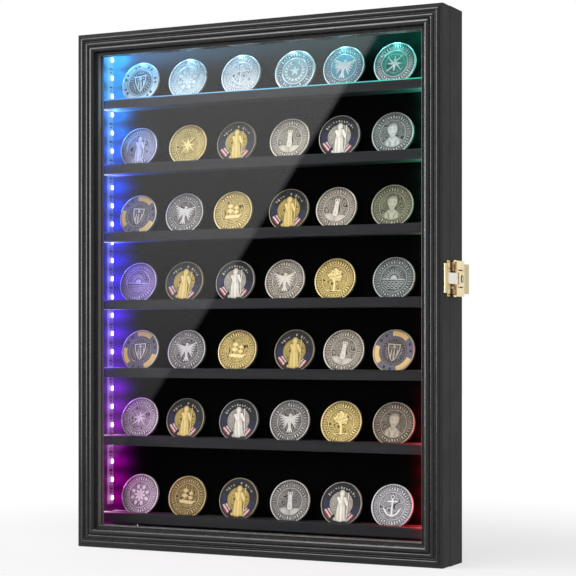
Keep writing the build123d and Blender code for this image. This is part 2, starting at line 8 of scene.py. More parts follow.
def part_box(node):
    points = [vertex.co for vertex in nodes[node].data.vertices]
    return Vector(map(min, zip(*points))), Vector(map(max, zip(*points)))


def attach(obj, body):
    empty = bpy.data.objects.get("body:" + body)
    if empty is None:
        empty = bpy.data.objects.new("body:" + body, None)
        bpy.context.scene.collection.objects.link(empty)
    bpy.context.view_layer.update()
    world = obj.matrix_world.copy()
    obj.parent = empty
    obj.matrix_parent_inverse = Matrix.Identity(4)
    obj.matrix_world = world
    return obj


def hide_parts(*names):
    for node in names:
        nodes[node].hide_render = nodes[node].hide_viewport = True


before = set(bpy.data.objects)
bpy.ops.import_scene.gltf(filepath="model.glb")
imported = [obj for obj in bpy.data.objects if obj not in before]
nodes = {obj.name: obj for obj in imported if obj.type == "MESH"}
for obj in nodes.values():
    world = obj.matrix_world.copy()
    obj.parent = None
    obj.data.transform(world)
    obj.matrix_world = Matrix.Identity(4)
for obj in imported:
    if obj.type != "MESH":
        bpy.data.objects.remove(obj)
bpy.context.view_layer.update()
sceneRoot = bpy.context.scene.collection
print("frame loaded", len(nodes), "nodes")


def addObject(name, data):
    thing = bpy.data.objects.new(name, data)
    sceneRoot.objects.link(thing)
    return thing


def hide(thing, *rays):
    for kind in rays:
        setattr(thing, "visible_" + kind, False)


# Level camera to the right of the case, a little below the middle of its height
cameraLook = {"place": (0.67607, -1.33728, 0.18705), "turn": 25.9717, "lens": 108.024, "sensor": 36,
              "shift": 0.08769, "near": 0.02}


def makeCamera():
    data = bpy.data.cameras.new("camera")
    data.lens = cameraLook["lens"]
    data.sensor_width = cameraLook["sensor"]
    data.shift_y = cameraLook["shift"]
    data.clip_start = cameraLook["near"]
    camera = addObject("camera", data)
    camera.location = cameraLook["place"]
    camera.rotation_euler = (math.pi / 2, 0, math.radians(cameraLook["turn"]))
    bpy.context.scene.camera = camera


makeCamera()
bpy.context.scene.view_settings.view_transform = "Standard"


# One output of a node; sums that are written with wires become math nodes
class Wire:
    def __init__(self, tree, node, output=0):
        self.tree = tree
        self.node = node
        self.output = output

    def __getitem__(self, output):
        return Wire(self.tree, self.node, output)

    def math(self, operation, a, b=0.0):
        return place(self.tree, "Math", {0: a, 1: b}, operation=operation)

    def remap(self, fromLow, fromHigh, toLow=0.0, toHigh=1.0):
        return place(self.tree, "MapRange", {0: self, 1: fromLow, 2: fromHigh, 3: toLow, 4: toHigh})

    def __add__(self, other):
        return self.math("ADD", self, other)

    def __sub__(self, other):
        return self.math("SUBTRACT", self, other)

    def __rsub__(self, other):
        return self.math("SUBTRACT", other, self)

    def __mul__(self, other):
        return self.math("MULTIPLY", self, other)

    def __truediv__(self, other):
        return self.math("DIVIDE", self, other)

    def __lt__(self, other):
        return self.math("LESS_THAN", self, other)

    def __gt__(self, other):
        return self.math("GREATER_THAN", self, other)

    def __abs__(self):
        return self.math("ABSOLUTE", self)


def feed(socket, value):
    if isinstance(value, Wire):
        value.tree.links.new(value.node.outputs[value.output], socket)
    elif socket.type == "RGBA":
        socket.default_value = (*value, 1.0)
    else:
        socket.default_value = value


def place(tree, kind, inputs=None, **settings):
    node = tree.nodes.new("ShaderNode" + kind)
    for name, value in settings.items():
        setattr(node, name, value)
    for name, value in (inputs or {}).items():
        feed(node.inputs[name], value)
    return Wire(tree, node)


def largest(*wires):
    return reduce(lambda a, b: a.math("MAXIMUM", a, b), wires)


def fading(amount):
    # 1 where the amount is 0, and less and less as it grows
    return amount.math("POWER", 2.718, amount * -1.0)


def here(tree):
    return place(tree, "TexCoord")["Object"]


def axes(tree, kind="Object"):
    # Where a point lies along x, y and z, or which way it faces
    split = place(tree, "SeparateXYZ", {0: place(tree, "TexCoord")[kind]})
    return split[0], split[1], split[2]


def noise(tree, where, scale, detail, roughness=0.5):
    inputs = {"Vector": where, "Scale": scale, "Detail": detail, "Roughness": roughness}
    return place(tree, "TexNoise", inputs)


def mixColor(tree, factor, a, b, blend="MIX"):
    return place(tree, "Mix", {0: factor, 6: a, 7: b}, data_type="RGBA", blend_type=blend)[2]


def ramp(tree, factor, stops):
    colors = place(tree, "ValToRGB", {"Fac": factor})
    points = colors.node.color_ramp.elements
    while len(points) < len(stops):
        points.new(0.5)
    for point, (position, color) in zip(points, stops):
        point.position = position
        point.color = (*color, 1.0)
    return colors


def bump(tree, height, strength, distance):
    return place(tree, "Bump", {"Height": height, "Strength": strength, "Distance": distance})


def newGroup(name, **usual):
    # Each input comes with the value that it usually has
    group = bpy.data.node_groups.new(name, "ShaderNodeTree")
    for inputName, value in usual.items():
        kind = "NodeSocketVector" if isinstance(value, tuple) else "NodeSocketFloat"
        group.interface.new_socket(inputName, in_out="INPUT", socket_type=kind).default_value = value
    return group, Wire(group, group.nodes.new("NodeGroupInput"))


def giveBack(group, results):
    for name in results:
        kind = "NodeSocketColor" if name == "Color" else "NodeSocketFloat"
        group.interface.new_socket(name, in_out="OUTPUT", socket_type=kind)
    sockets = group.nodes.new("NodeGroupOutput").inputs
    for name, value in results.items():
        feed(sockets[name], value)
    return group


def useGroup(tree, group, inputs=None):
    return place(tree, "Group", inputs, node_tree=group)


def newMaterial(name):
    material = bpy.data.materials.new(name)
    material.use_nodes = True
    material.node_tree.nodes.clear()
    return material, material.node_tree


def surface(material, inputs):
    tree = material.node_tree
    place(tree, "OutputMaterial", {0: place(tree, "BsdfPrincipled", inputs)})
    return material


def glow(tree, strength):
    return place(tree, "Emission", {"Color": white, "Strength": strength})


black, white = (0.0, 0.0, 0.0), (1.0, 1.0, 1.0)


# Shared effects
def makeGrain():
    # Long pores and slow tone of painted wood; Stretch says how little it changes along each axis
    group, given = newGroup("paintedGrain", Stretch=(1.0, 1.0, 1.0))
    scaled = place(group, "VectorMath", {0: here(group), 1: given["Stretch"]}, operation="MULTIPLY")
    pores = noise(group, scaled, 900.0, 3.0, 0.6)
    tone = noise(group, scaled, 240.0, 2.0)
    return giveBack(group, {"Pores": pores.remap(0.35, 0.7), "Tone": tone.remap(0.3, 0.7)})


def makeWear():
    # Slow smudges, fine dust specks and hair scratches of handled surfaces
    group, given = newGroup("handledWear", Size=1.0)
    sized = place(group, "VectorMath", {0: here(group), "Scale": given["Size"]}, operation="SCALE")
    smudge = noise(group, sized, 38.0, 4.0, 0.6)
    specks = place(group, "TexVoronoi", {"Vector": sized, "Scale": 520.0, "Randomness": 1.0})["Distance"]
    rare = noise(group, sized, 150.0, 1.0).remap(0.55, 0.8, 0.0, 0.22)
    turned = place(group, "Mapping", {"Vector": sized, "Rotation": (0.5, 0.3, 0.7),
                                      "Scale": (2600.0, 60.0, 420.0)})
    scratch = noise(group, turned, 1.0, 1.0)
    return giveBack(group, {"Smudge": smudge.remap(0.35, 0.7), "Specks": specks < rare,
                            "Scratches": scratch.remap(0.62, 0.72)})


grain = makeGrain()
wear = makeWear()


# Strips of lamps: the axis and ends of each, the axis and place of its line, and its lamps
stripLook = {
    "left": {"axis": 2, "ends": (0.0358, 0.4475), "line": (0, -0.1618), "lamps": 25, "inward": (1, 0, 0)},
    "right": {"axis": 2, "ends": (0.0358, 0.4475), "line": (0, 0.1618), "lamps": 25, "inward": (-1, 0, 0)},
    "top": {"axis": 0, "ends": (-0.1613, 0.1613), "line": (2, 0.4468), "lamps": 19, "inward": (0, 0, -1)}}
stripDepth = 0.0137
# The running colour of each strip, from its low or left end
hueLook = {
    "left": ((0.02, (0.4, 0.0, 0.33)), (0.14, (0.42, 0.0, 0.48)), (0.27, (0.3, 0.01, 0.8)),
             (0.42, (0.16, 0.02, 1.0)), (0.55, (0.05, 0.03, 1.0)), (0.67, (0.0, 0.09, 1.0)),
             (0.8, (0.0, 0.26, 1.0)), (0.93, (0.0, 0.48, 1.0)), (1.0, (0.02, 0.6, 1.0))),
    "top": ((0.0, (0.02, 0.36, 1.0)), (0.12, (0.25, 0.6, 1.0)), (0.35, (0.4, 0.75, 1.0)),
            (0.6, (0.35, 0.8, 0.95)), (0.8, (0.15, 0.8, 0.75)), (1.0, (0.05, 0.75, 0.5))),
    "right": ((0.0, (1.0, 0.0, 0.03)), (0.16, (0.8, 0.0, 0.02)), (0.3, (0.16, 0.0, 0.01)),
              (0.5, (0.05, 0.04, 0.0)), (0.7, (0.03, 0.3, 0.15)), (1.0, (0.0, 0.5, 0.42)))}
# How strongly each side glows; a window and a body have a share of that and a paleness at a lamp's middle
lampLook = {"left": 7.0, "right": 7.0, "top": 0.25, "Window": (1.0, 0.85), "Body": (0.075, 0.4),
            "sleeve": 0.8, "pitch": 0.01667, "first": 0.0025, "spread": 0.0036}
firstLamp = {}
for side in hueLook:
    low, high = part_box("lamps_" + side)
    firstLamp[side] = low[stripLook[side]["axis"]] + lampLook["first"]


def makeHue(side):
    # The strip's colour at a place, and how near the place is to a lamp
    group, given = newGroup("hue" + side.title(), Spread=lampLook["spread"])
    along = axes(group)[stripLook[side]["axis"]]
    pitch = lampLook["pitch"]
    steps = (along - firstLamp[side]) / pitch + 0.5
    away = abs(steps.math("FRACT", steps) - 0.5) * pitch / given["Spread"]
    color = ramp(group, along.remap(*stripLook[side]["ends"]), hueLook[side])
    return giveBack(group, {"Color": color, "Near": fading(away * away)})


hues = {side: makeHue(side) for side in hueLook}


# Painted light: the glow that the strips throw on the wood, the shelves and the lining close to them,
# painted as emission
# "under", "corner" and "arris" are a reach and a strength; "inside" is half a width, the top, front and back
spillLook = {"reach": 0.0135, "spread": 0.0055, "left": 1.2, "right": 0.95, "top": 0.05,
             "under": (0.014, 2.2), "corner": (0.06, 12.0), "arris": (0.014, 24.0), "sideArris": 1.5,
             "rise": {"left": (0.3, 0.44, 1.0, 2.2), "right": (0.33, 0.44, 1.0, 1.3)},
             "spots": (0.3, 0.8), "bleach": 0.8, "deepen": 0.6,
             "inside": (0.1642, 0.4482, -0.0045, 0.0203), "edge": 0.00045, "shelfFront": -0.0025}


def makeSpill():
    look = spillLook
    group, given = newGroup("paintedLampSpill", Share=1.0)
    spot = axes(group)
    x, y, z = spot
    wide, high, front, back = look["inside"]
    within = (abs(x) < wide) * (z < high) * (y > front) * (y < back)
    under = within * abs(axes(group, "Normal")[2]).remap(0.4, 0.9)
    # The front edge just under the top of each shelf, where a painted highlight runs
    edges = []
    for number in range(1, 8):
        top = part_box(f"shelf_{number}")[1].z
        edges.append(abs(z - (top - look["edge"])) < look["edge"])
    arris = within * largest(*edges) * (y < look["shelfFront"])
    lit = []
    for side in ("left", "right", "top"):
        axis, line = stripLook[side]["line"]
        across = spot[axis] - line
        deep = y - stripDepth
        near = fading((across * across + deep * deep) / look["reach"] ** 2)
        share = near * within * look[side] * given["Share"]
        strip = useGroup(group, hues[side], {"Spread": look["spread"]})
        squared = mixColor(group, 1.0, strip["Color"], strip["Color"], "MULTIPLY")
        hue = mixColor(group, look["deepen"], strip["Color"], squared)
        if side == "top":
            # Painted light strongest where the two strips meet, and a painted highlight along the upper
            # arris of the shelf below
            run = fading((x - stripLook["left"]["line"][1]) / look["corner"][0])
            drop = fading(abs(across) / look["arris"][0])
            share = share * (run * look["corner"][1] + 1.0) + arris * drop * look["arris"][1]
        else:
            run = fading(abs(across) / look["under"][0])
            beam = run * under * (look["under"][1] * look[side])
            base, gain = look["spots"]
            spots = (strip["Near"] * gain + base) * z.remap(*look["rise"][side])
            share = share * spots + beam + run * run * arris * look["sideArris"]
            hue = mixColor(group, run * run * under * look["bleach"], hue, white)
        lit.append(mixColor(group, share, black, hue))
    return giveBack(group, {"Color": reduce(lambda a, b: mixColor(group, 1.0, a, b, "ADD"), lit)})


spill = makeSpill()


# Painted wood; "inner" is painted light, a paler tone on the faces around the door's opening, "opening" its
# low, high and half width
paintLook = {"deep": (0.004, 0.004, 0.0042), "thin": (0.010, 0.0095, 0.0095), "dust": (0.12, 0.12, 0.115),
             "roughness": (0.2, 0.28), "rubbed": 0.45, "pores": 0.2, "gloss": 0.35, "spill": 0.55,
             "inner": (0.2, 0.19, 0.18), "opening": (0.0193, 0.4407, 0.1557)}
shelfLook = {"deep": (0.02, 0.02, 0.0225), "thin": (0.028, 0.028, 0.031), "dust": (0.2, 0.2, 0.2),
             "roughness": (0.55, 0.7), "rubbed": 0.45, "pores": 0.3, "gloss": 0.1, "spill": 0.55}


def innerEdge(tree, low, high, wide):
    # The faces that look into the opening of the door
    spot, facing = axes(tree), axes(tree, "Normal")
    return (abs(spot[0]) < wide) * (spot[2] > low) * (spot[2] < high) * (abs(facing[1]) < 0.5)


def paintedWood(name, stretch, look):
    material, tree = newMaterial(name)
    wood = useGroup(tree, grain, {"Stretch": stretch})
    marks = useGroup(tree, wear)
    tone = mixColor(tree, wood["Tone"], look["deep"], look["thin"])
    # Painted light: the faces that look into the opening are paler
    if "inner" in look:
        tone = mixColor(tree, innerEdge(tree, *look["opening"]), tone, look["inner"])
    # The outer sides are rubbed flat, the mouldings are not
    rubbed = (abs(axes(tree, "Normal")[0]) > 0.95) * look["rubbed"]
    sheen = marks["Smudge"].remap(0.0, 1.0, *look["roughness"]) + rubbed
    return surface(material, {
        "Base Color": mixColor(tree, marks["Specks"] * 0.25, tone, look["dust"]),
        "Roughness": sheen + wood["Pores"] * 0.06,
        "Normal": bump(tree, wood["Pores"], look["pores"], 0.00012),
        "Specular IOR Level": look["gloss"],
        # Painted light of the strips, as emission
        "Emission Color": useGroup(tree, spill, {"Share": look["spill"]}),
        "Emission Strength": 1.0})


uprightPaint = paintedWood("paintUpright", (1.0, 1.0, 0.03), paintLook)
levelPaint = paintedWood("paintLevel", (0.03, 1.0, 1.0), paintLook)
shelfPaint = paintedWood("paintShelf", (0.03, 1.0, 1.0), shelfLook)


def makeBoard():
    material, tree = newMaterial("hardboard")
    fibres = noise(tree, here(tree), 700.0, 5.0, 0.7)
    patches = noise(tree, here(tree), 25.0, 3.0).remap(0.4, 0.8, 0.0, 0.5)
    tone = mixColor(tree, fibres.remap(0.3, 0.75), (0.014, 0.012, 0.011), (0.04, 0.034, 0.029))
    return surface(material, {
        "Base Color": mixColor(tree, patches, tone, (0.022, 0.02, 0.019)),
        "Roughness": fibres.remap(0.3, 0.7, 0.6, 0.85),
        "Normal": bump(tree, fibres, 0.5, 0.0002),
        "Specular IOR Level": 0.25})


def makeLining():
    material, tree = newMaterial("lining")
    nap = noise(tree, here(tree), 2400.0, 2.0, 0.6)
    return surface(material, {
        "Base Color": mixColor(tree, nap, (0.0006, 0.0006, 0.0007), (0.0016, 0.0016, 0.0018)),
        "Roughness": nap.remap(0.3, 0.7, 0.85, 1.0),
        "Normal": bump(tree, nap, 0.3, 0.0002),
        "Specular IOR Level": 0.02,
        # Painted light of the strips, as emission
        "Emission Color": useGroup(tree, spill),
        "Emission Strength": 1.0})


def makeRubber():
    material, tree = newMaterial("rubber")
    smudge = useGroup(tree, wear, {"Size": 3.0})["Smudge"]
    return surface(material, {
        "Base Color": mixColor(tree, smudge, (0.012, 0.012, 0.012), (0.03, 0.03, 0.029)),
        "Roughness": smudge.remap(0.0, 1.0, 0.55, 0.8),
        "Specular IOR Level": 0.3})


# Plated metal: brass for the fittings, zinc for the hangers
def platedMetal(name, bright, dull, rough, metallic=1.0, shade=None):
    material, tree = newMaterial(name)
    marks = useGroup(tree, wear, {"Size": 3.0})
    tone = mixColor(tree, marks["Smudge"], bright, dull)
    tone = mixColor(tree, marks["Scratches"] * 0.3, tone, bright)
    if shade:
        # Another tone before or behind a line across the case, or in patches of a size
        kind, amount, other = shade
        depth = axes(tree)[1]
        if kind == "patches":
            share = noise(tree, here(tree), amount, 1.0).remap(0.5, 0.56, 1.0, 0.1)
        else:
            share = depth > amount if kind == "behind" else depth < amount
        tone = mixColor(tree, share, tone, other)
    return surface(material, {
        "Base Color": tone,
        "Metallic": metallic,
        "Roughness": marks["Smudge"].remap(0.0, 1.0, *rough) + marks["Scratches"] * 0.08,
        "Normal": bump(tree, marks["Scratches"], 0.08, 0.00003)})


brass = platedMetal("brassPlate", (0.93, 0.78, 0.50), (0.86, 0.68, 0.38), (0.2, 0.32))
# Painted shade: the lever's rear lip, behind y 13.9 mm, is a darker brass
leverBrass = platedMetal("brassLever", (0.96, 0.83, 0.56), (0.9, 0.74, 0.45), (0.22, 0.34),
                         shade=("behind", 0.0139, (0.54, 0.46, 0.28)))
# Painted highlight: the claw's stem is near white and partly matte; only its bar, in front of y -18 mm,
# keeps the brass tone
clawHighlightBrass = platedMetal("brassClawHighlight", (1.0, 0.97, 0.86), (0.98, 0.92, 0.78), (0.3, 0.42), metallic=0.55,
                        shade=("before", -0.0180, (0.72, 0.56, 0.3)))
# Painted reflections: dark red-brown patches stand in for the brass mirroring the dark inside of the latch
baseBrass = platedMetal("brassBase", (0.86, 0.66, 0.36), (0.7, 0.5, 0.24), (0.2, 0.32),
                        shade=("patches", 260.0, (0.2, 0.075, 0.03)))
zinc = platedMetal("zincPlate", (0.62, 0.62, 0.60), (0.45, 0.45, 0.44), (0.28, 0.42))
screwPlate = platedMetal("screwPlate", (0.86, 0.72, 0.45), (0.62, 0.48, 0.26), (0.16, 0.3))
screwDark = platedMetal("screwDark", (0.85, 0.66, 0.38), (0.5, 0.3, 0.14), (0.2, 0.34))
partInk = platedMetal("partInk", (0.03, 0.03, 0.03), (0.015, 0.015, 0.015), (0.3, 0.5))
copperPad = platedMetal("copperPad", (0.85, 0.55, 0.33), (0.7, 0.42, 0.25), (0.25, 0.4))


def makePane():
    material, tree = newMaterial("clearPane")
    smudge = useGroup(tree, wear, {"Size": 0.5})["Smudge"] * 0.3
    return surface(material, {
        "Base Color": mixColor(tree, smudge, (0.985, 0.99, 0.99), (0.97, 0.975, 0.975)),
        "Transmission Weight": 1.0,
        "IOR": 1.5,
        "Roughness": 0.0})


def lampMaterial(side, part="Window"):
    share, core = lampLook[part]
    material, tree = newMaterial("lamp" + part + side.title())
    hue = useGroup(tree, hues[side])
    core = hue["Near"].remap(0.5, 1.0, 0.35, core)
    return surface(material, {
        "Base Color": mixColor(tree, 0.5, hue["Color"], (0.9, 0.9, 0.9)),
        "Roughness": 0.25,
        "Emission Color": mixColor(tree, core, hue["Color"], white),
        "Emission Strength": lampLook[side] * share})


def stripMaterial(side):
    # Clear sleeve over a white board: it takes the colour of its own lamps
    material, tree = newMaterial("strip" + side.title())
    hue = useGroup(tree, hues[side])
    smudge = useGroup(tree, wear, {"Size": 2.0})["Smudge"]
    pale = mixColor(tree, hue["Near"] * 0.2 + 0.1, hue["Color"], (0.7, 0.85, 1.0))
    spot = axes(tree)
    edge = abs(spot[1] - stripDepth).remap(0.0029, 0.0036, 0.0, 0.9)
    level = hue["Near"].remap(0.0, 1.0, 0.4, 1.1) + smudge * 0.2 + edge
    level = level * spot[2].remap(0.3, 0.42, 1.0, 2.6)
    return surface(material, {
        "Base Color": mixColor(tree, smudge, (0.05, 0.05, 0.07), (0.03, 0.03, 0.05)),
        "Roughness": 0.3,
        "Emission Color": mixColor(tree, level, black, pale),
        "Emission Strength": lampLook["sleeve"]})


print("finishes made")


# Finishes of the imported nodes: the first beginning that fits a name counts, and brass is for the rest
rubber = makeRubber()
finishOf = {"side_panel": uprightPaint, "door_stile": uprightPaint, "pane_stop_left": uprightPaint,
            "pane_stop_right": uprightPaint, "top_panel": levelPaint, "bottom_panel": levelPaint,
            "door_rail": levelPaint, "pane_stop": levelPaint, "pane": makePane(), "shelf": shelfPaint,
            "hanger": zinc, "back_panel": makeBoard(), "back_lining": makeLining(), "lead_grommet": rubber,
            "wall_bumpers": rubber, "latch_lever": leverBrass, "latch_claw": clawHighlightBrass,
            "latch_base": baseBrass}
for side in hueLook:
    finishOf["lamps_" + side] = lampMaterial(side)
    finishOf["light_strip_" + side] = stripMaterial(side)
finishOf[""] = brass
# Softened arrises catch the light
bevelLook = {"segments": 2, "angle": 40}
bevelOf = {"shelf": 0.0008, "side_panel": 0.0004, "top_panel": 0.0004, "bottom_panel": 0.0004,
           "door_": 0.00012, "latch_": 0.00015, "claw_pin": 0.0001}


def dressNode(name, node):
    node.data.materials.clear()
    node.data.materials.append(next(finish for start, finish in finishOf.items() if name.startswith(start)))
    for start, width in bevelOf.items():
        if name.startswith(start):
            soft = node.modifiers.new("softEdges", "BEVEL")
            soft.width = width
            soft.segments = bevelLook["segments"]
            soft.limit_method = "ANGLE"
            soft.angle_limit = math.radians(bevelLook["angle"])
            soft.harden_normals = False


for name, node in nodes.items():
    dressNode(name, node)
hide(nodes["pane"], "shadow", "diffuse")


# Coins: every face is struck as a height field over rings and spokes, drawn in millimetres
# "rim", "edge", "sole", "hub" and "dip" shape the plain rim and the sunk back
coinLook = {"rings": 46, "spokes": 150, "thick": 3.0, "rim": 1.0, "edge": 0.25, "sole": 1.3, "hub": 5.0,
            "dip": 0.3, "field": 0.4, "reeds": 0.06, "sharp": 50, "lean": 14.0, "tilt": 6.0, "seed": 11}
raised = 0.2


def dome(at, x, y, wide, high=None):
    return np.sqrt(np.clip(1 - ((at[0] - x) / wide) ** 2 - ((at[1] - y) / (high or wide)) ** 2, 0, 1))


def limb(at, x0, y0, x1, y1, w0, w1=None):
    dx, dy = x1 - x0, y1 - y0
    t = np.clip(((at[0] - x0) * dx + (at[1] - y0) * dy) / (dx * dx + dy * dy), 0, 1)
    away = np.hypot(at[0] - x0 - t * dx, at[1] - y0 - t * dy) / (w0 + ((w1 or w0) - w0) * t)
    return np.sqrt(np.clip(1 - away ** 2, 0, 1))


def folded(at, count, turn=0.0):
    # The same place in every one of a number of equal slices
    step = 2 * math.pi / count
    angle = ((np.arctan2(at[1], at[0]) - math.radians(turn)) / step + 0.5) % 1 - 0.5
    radius = np.hypot(*at)
    return radius * np.cos(angle * step), radius * np.sin(angle * step)


def band(at, inner, outer, soft=0.3):
    radius = np.hypot(*at)
    return np.clip((radius - inner) / soft, 0, 1) * np.clip((outer - radius) / soft, 0, 1)


def disc(at, outer):
    return np.clip((outer - np.hypot(*at)) / 0.3, 0, 1)


def polar(radius, degrees):
    return radius * math.cos(math.radians(degrees)), radius * math.sin(math.radians(degrees))


def sector(at, low, high):
    angle = np.degrees(np.arctan2(at[1], at[0])) % 360
    return ((angle - low) % 360 < (high - low) % 360).astype(float)


def stack(*parts):
    return np.maximum.reduce(parts)


def scroll(at, seed):
    # Fine raised lines that wander over the field
    turn = seed % 17
    slow = np.sin(0.62 * at[0] + turn) + np.sin(0.55 * at[1] + 1.7 * turn)
    slow += np.sin(0.44 * (at[0] + at[1]) + 0.6 * turn)
    return np.clip(1.6 - 1.6 * np.abs(np.sin(2.0 * slow + 0.35 * at[0])) / 0.6, 0, 1) * disc(at, 11.2)


def widened(picture):
    out, back = np.vstack((picture[1:], picture[-1:])), np.vstack((picture[:1], picture[:-1]))
    return stack(picture, np.roll(picture, 1, axis=1), np.roll(picture, -1, axis=1), out, back)


def outline(picture, steps=1):
    # The ground right beside the raised parts
    wide = picture
    for step in range(steps):
        wide = widened(wide)
    return (wide > raised) & (picture <= raised)


def press(at, seed, picture, ground=0.45, carve=0.4):
    # The picture stands up from the ground with a hollow line around it
    field = np.where(outline(picture), 0.02, ground - carve * scroll(at, seed))
    return np.where(picture > raised, 0.45 + 0.55 * picture, field)


def waves(at, top, rows):
    lines = [np.clip(1 - np.abs(at[1] - top + 1.5 * row + 0.35 * np.sin(1.7 * at[0] + 2 * row)) / 0.45, 0, 1)
             for row in range(rows)]
    return stack(*lines) * disc(at, 10.8)


def robedFigure(at, scale=1.0):
    at = (at[0] / scale, at[1] / scale)
    robe = limb(at, 0, 4.6, 0, -9.6, 2.4, 4.6) * (0.7 + 0.3 * np.cos(2.2 * at[0] + 0.15 * at[1]))
    hood = 0.55 * dome(at, 0, 8.0, 2.7, 3.1)
    face = stack(dome(at, 0, 8.0, 1.7, 2.2), limb(at, 0, 8.4, 0, 7.6, 0.35))
    arms = stack(limb(at, -2.9, 4.4, -1.0, 0.2, 1.3, 1.0), limb(at, 2.9, 4.4, 4.6, -0.6, 1.3, 0.9))
    staff, plinth = limb(at, 5.4, 8.6, 5.4, -10.5, 0.45), 0.5 * limb(at, -4.5, -12, 4.5, -12, 1.3)
    return stack(robe, hood, face, arms, staff, plinth)


def bust(at):
    # A plain head of even proportions, with hair, a collar and shoulders
    inside = disc(at, 11.4)
    at = (at[0] / 1.2, (at[1] + 0.8) / 1.2)
    face, hair = dome(at, 0, 3.0, 3.6, 4.5), dome(at, 0, 4.2, 4.7, 4.7)
    marks = stack(*(shape for side in (-1, 1) for shape in (
        dome(at, side * 1.45, 3.3, 0.85, 0.4), 0.8 * limb(at, side * 2.3, 4.3, side * 0.8, 4.35, 0.3),
        0.9 * limb(at, side * 1.15, 0.3, 0, 0.1, 0.34))))
    nose = limb(at, 0, 3.4, 0, 1.8, 0.4, 0.7)
    skin = 0.5 + 0.35 * face + 0.2 * nose - 0.5 * marks * (nose < 0.2)
    locks = hair * (0.5 + 0.12 * np.cos(3 * at[0] + 0.8 * at[1]))
    head = np.where((face > 0.3) & (at[1] < 5.9), skin, locks)
    neck = 0.5 * limb(at, 0, -0.6, 0, -3.4, 2.2, 2.8)
    collar = stack(*(limb(at, x, -2.7, 0, -6.8, 0.6) for x in (-2.7, 2.7)), dome(at, 0, -8.4, 0.5))
    coat = dome(at, 0, -10.2, 10.4, 8.2) * (0.7 + 0.25 * np.cos(1.6 * at[0]))
    return np.clip(stack(head, neck, coat, collar), 0, 1) * inside


def spreadBird(at):
    beak = limb(at, 1.6, 5.9, 3.0, 5.2, 0.55, 0.3)
    parts = [limb(at, 0, 3, 0, -4.6, 2.3, 1.3), dome(at, 0.5, 5.7, 1.5), beak]
    for side in (-1, 1):
        for feather in range(6):
            tip = (side * (10 - 0.9 * feather), 6.6 - 2.4 * feather)
            parts.append(limb(at, side * 1.5, 3.3 - 0.5 * feather, *tip, 0.95, 0.6))
    parts += [limb(at, 0, -4.4, 2.3 * step, -9.4, 0.9, 0.7) for step in (-1, 0, 1)]
    return stack(*parts)


def sailShip(at):
    sails = [dome(at, -2.6, 5.4, 3.2, 2.1), dome(at, -2.6, 0.9, 3.7, 2.1), dome(at, 3.4, 3.6, 2.5, 1.7),
             dome(at, 3.4, -0.2, 2.9, 1.7)]
    hull = stack(limb(at, -5.8, -4.6, 5.6, -4.6, 1.7), limb(at, 5.6, -4.4, 9.2, -2.4, 1.3, 0.4))
    masts = stack(limb(at, -2.6, -4, -2.6, 9.3, 0.4), limb(at, 3.4, -4, 3.4, 7, 0.4))
    return stack(hull, masts, waves(at, -7.2, 2), *[0.85 * sail for sail in sails])


def hillTower(at):
    teeth = [limb(at, x, 6.2, x, 8.0, 0.6) for x in (-1.9, 0, 1.9)]
    tower = stack(limb(at, 0, -5, 0, 4.6, 2.7, 2.1), *teeth)
    door = dome(at, 0, -4.2, 1.0, 1.7) + dome(at, 0, 2.2, 0.6, 0.9)
    ground = stack(dome(at, -6, -10, 6.5, 5.6), dome(at, 6, -10, 6.5, 4.8)) * 0.7
    rays = folded(at, 20, 9)
    sky = 0.45 * limb(rays, 7.6, 0, 11.2, 0, 0.5, 0.2) * (at[1] > 2)
    return stack(tower - 0.6 * door, ground, sky) * disc(at, 11.4)


def compassRose(at):
    long, short = folded(at, 4, 45), folded(at, 4)
    ridge = 0.55 + 0.45 * np.sign(long[1])
    return stack(limb(long, 0, 0, 10.8, 0, 2.1, 0.15) * ridge, 0.8 * limb(short, 0, 0, 7.0, 0, 1.8, 0.15),
                 0.6 * band(at, 8.2, 9.0), dome(at, 0, 0, 1.3))


def leafyTree(at):
    parts = [limb(at, 0, -9.5, 0, 1, 1.2, 0.7), 0.6 * limb(at, -6, -9.6, 6, -9.6, 0.6)]
    for leaf in range(20):
        reach, turn = 1.25 * math.sqrt(leaf), 2.4 * leaf
        x, y = reach * math.cos(turn) * 1.15, 3.6 + reach * math.sin(turn)
        parts.append((0.65 + 0.35 * (leaf % 2)) * dome(at, x, y, 1.5))
    return stack(*parts)


def anchorMark(at):
    parts = [limb(at, 0, 5.6, 0, -8, 0.95), limb(at, -4.2, 4.0, 4.2, 4.0, 0.8),
             np.clip(1 - np.abs(np.hypot(at[0], at[1] - 7.8) - 1.6) / 0.6, 0, 1)]
    arc = [polar(6.6, degrees) for degrees in range(200, 341, 20)]
    parts += [limb(at, a, b - 1.6, c, d - 1.6, 0.9) for (a, b), (c, d) in zip(arc, arc[1:])]
    parts += [limb(at, side * 6.2, -3.9, side * 8.2, -1.2, 1.1, 0.3) for side in (-1, 1)]
    return stack(*parts)


def leafWreath(at):
    star = folded(at, 5, 90)
    parts = [dome(star, 0, 0, 1.2), limb(star, 0, 0, 4.8, 0, 1.9, 0.1)]
    for side in (-1, 1):
        for leaf in range(8):
            x, y = polar(8.4, 20 * leaf - 80)
            for root, tip, lean, wide in ((0.93, 1.2, 1.5, 0.95), (1.05, 0.8, 1.3, 0.8)):
                u, v = x * tip - lean * y / 8.4, y * tip + lean * x / 8.4
                parts.append(limb(at, side * x * root, y * root, side * u, v, wide, 0.2))
    return stack(*parts)


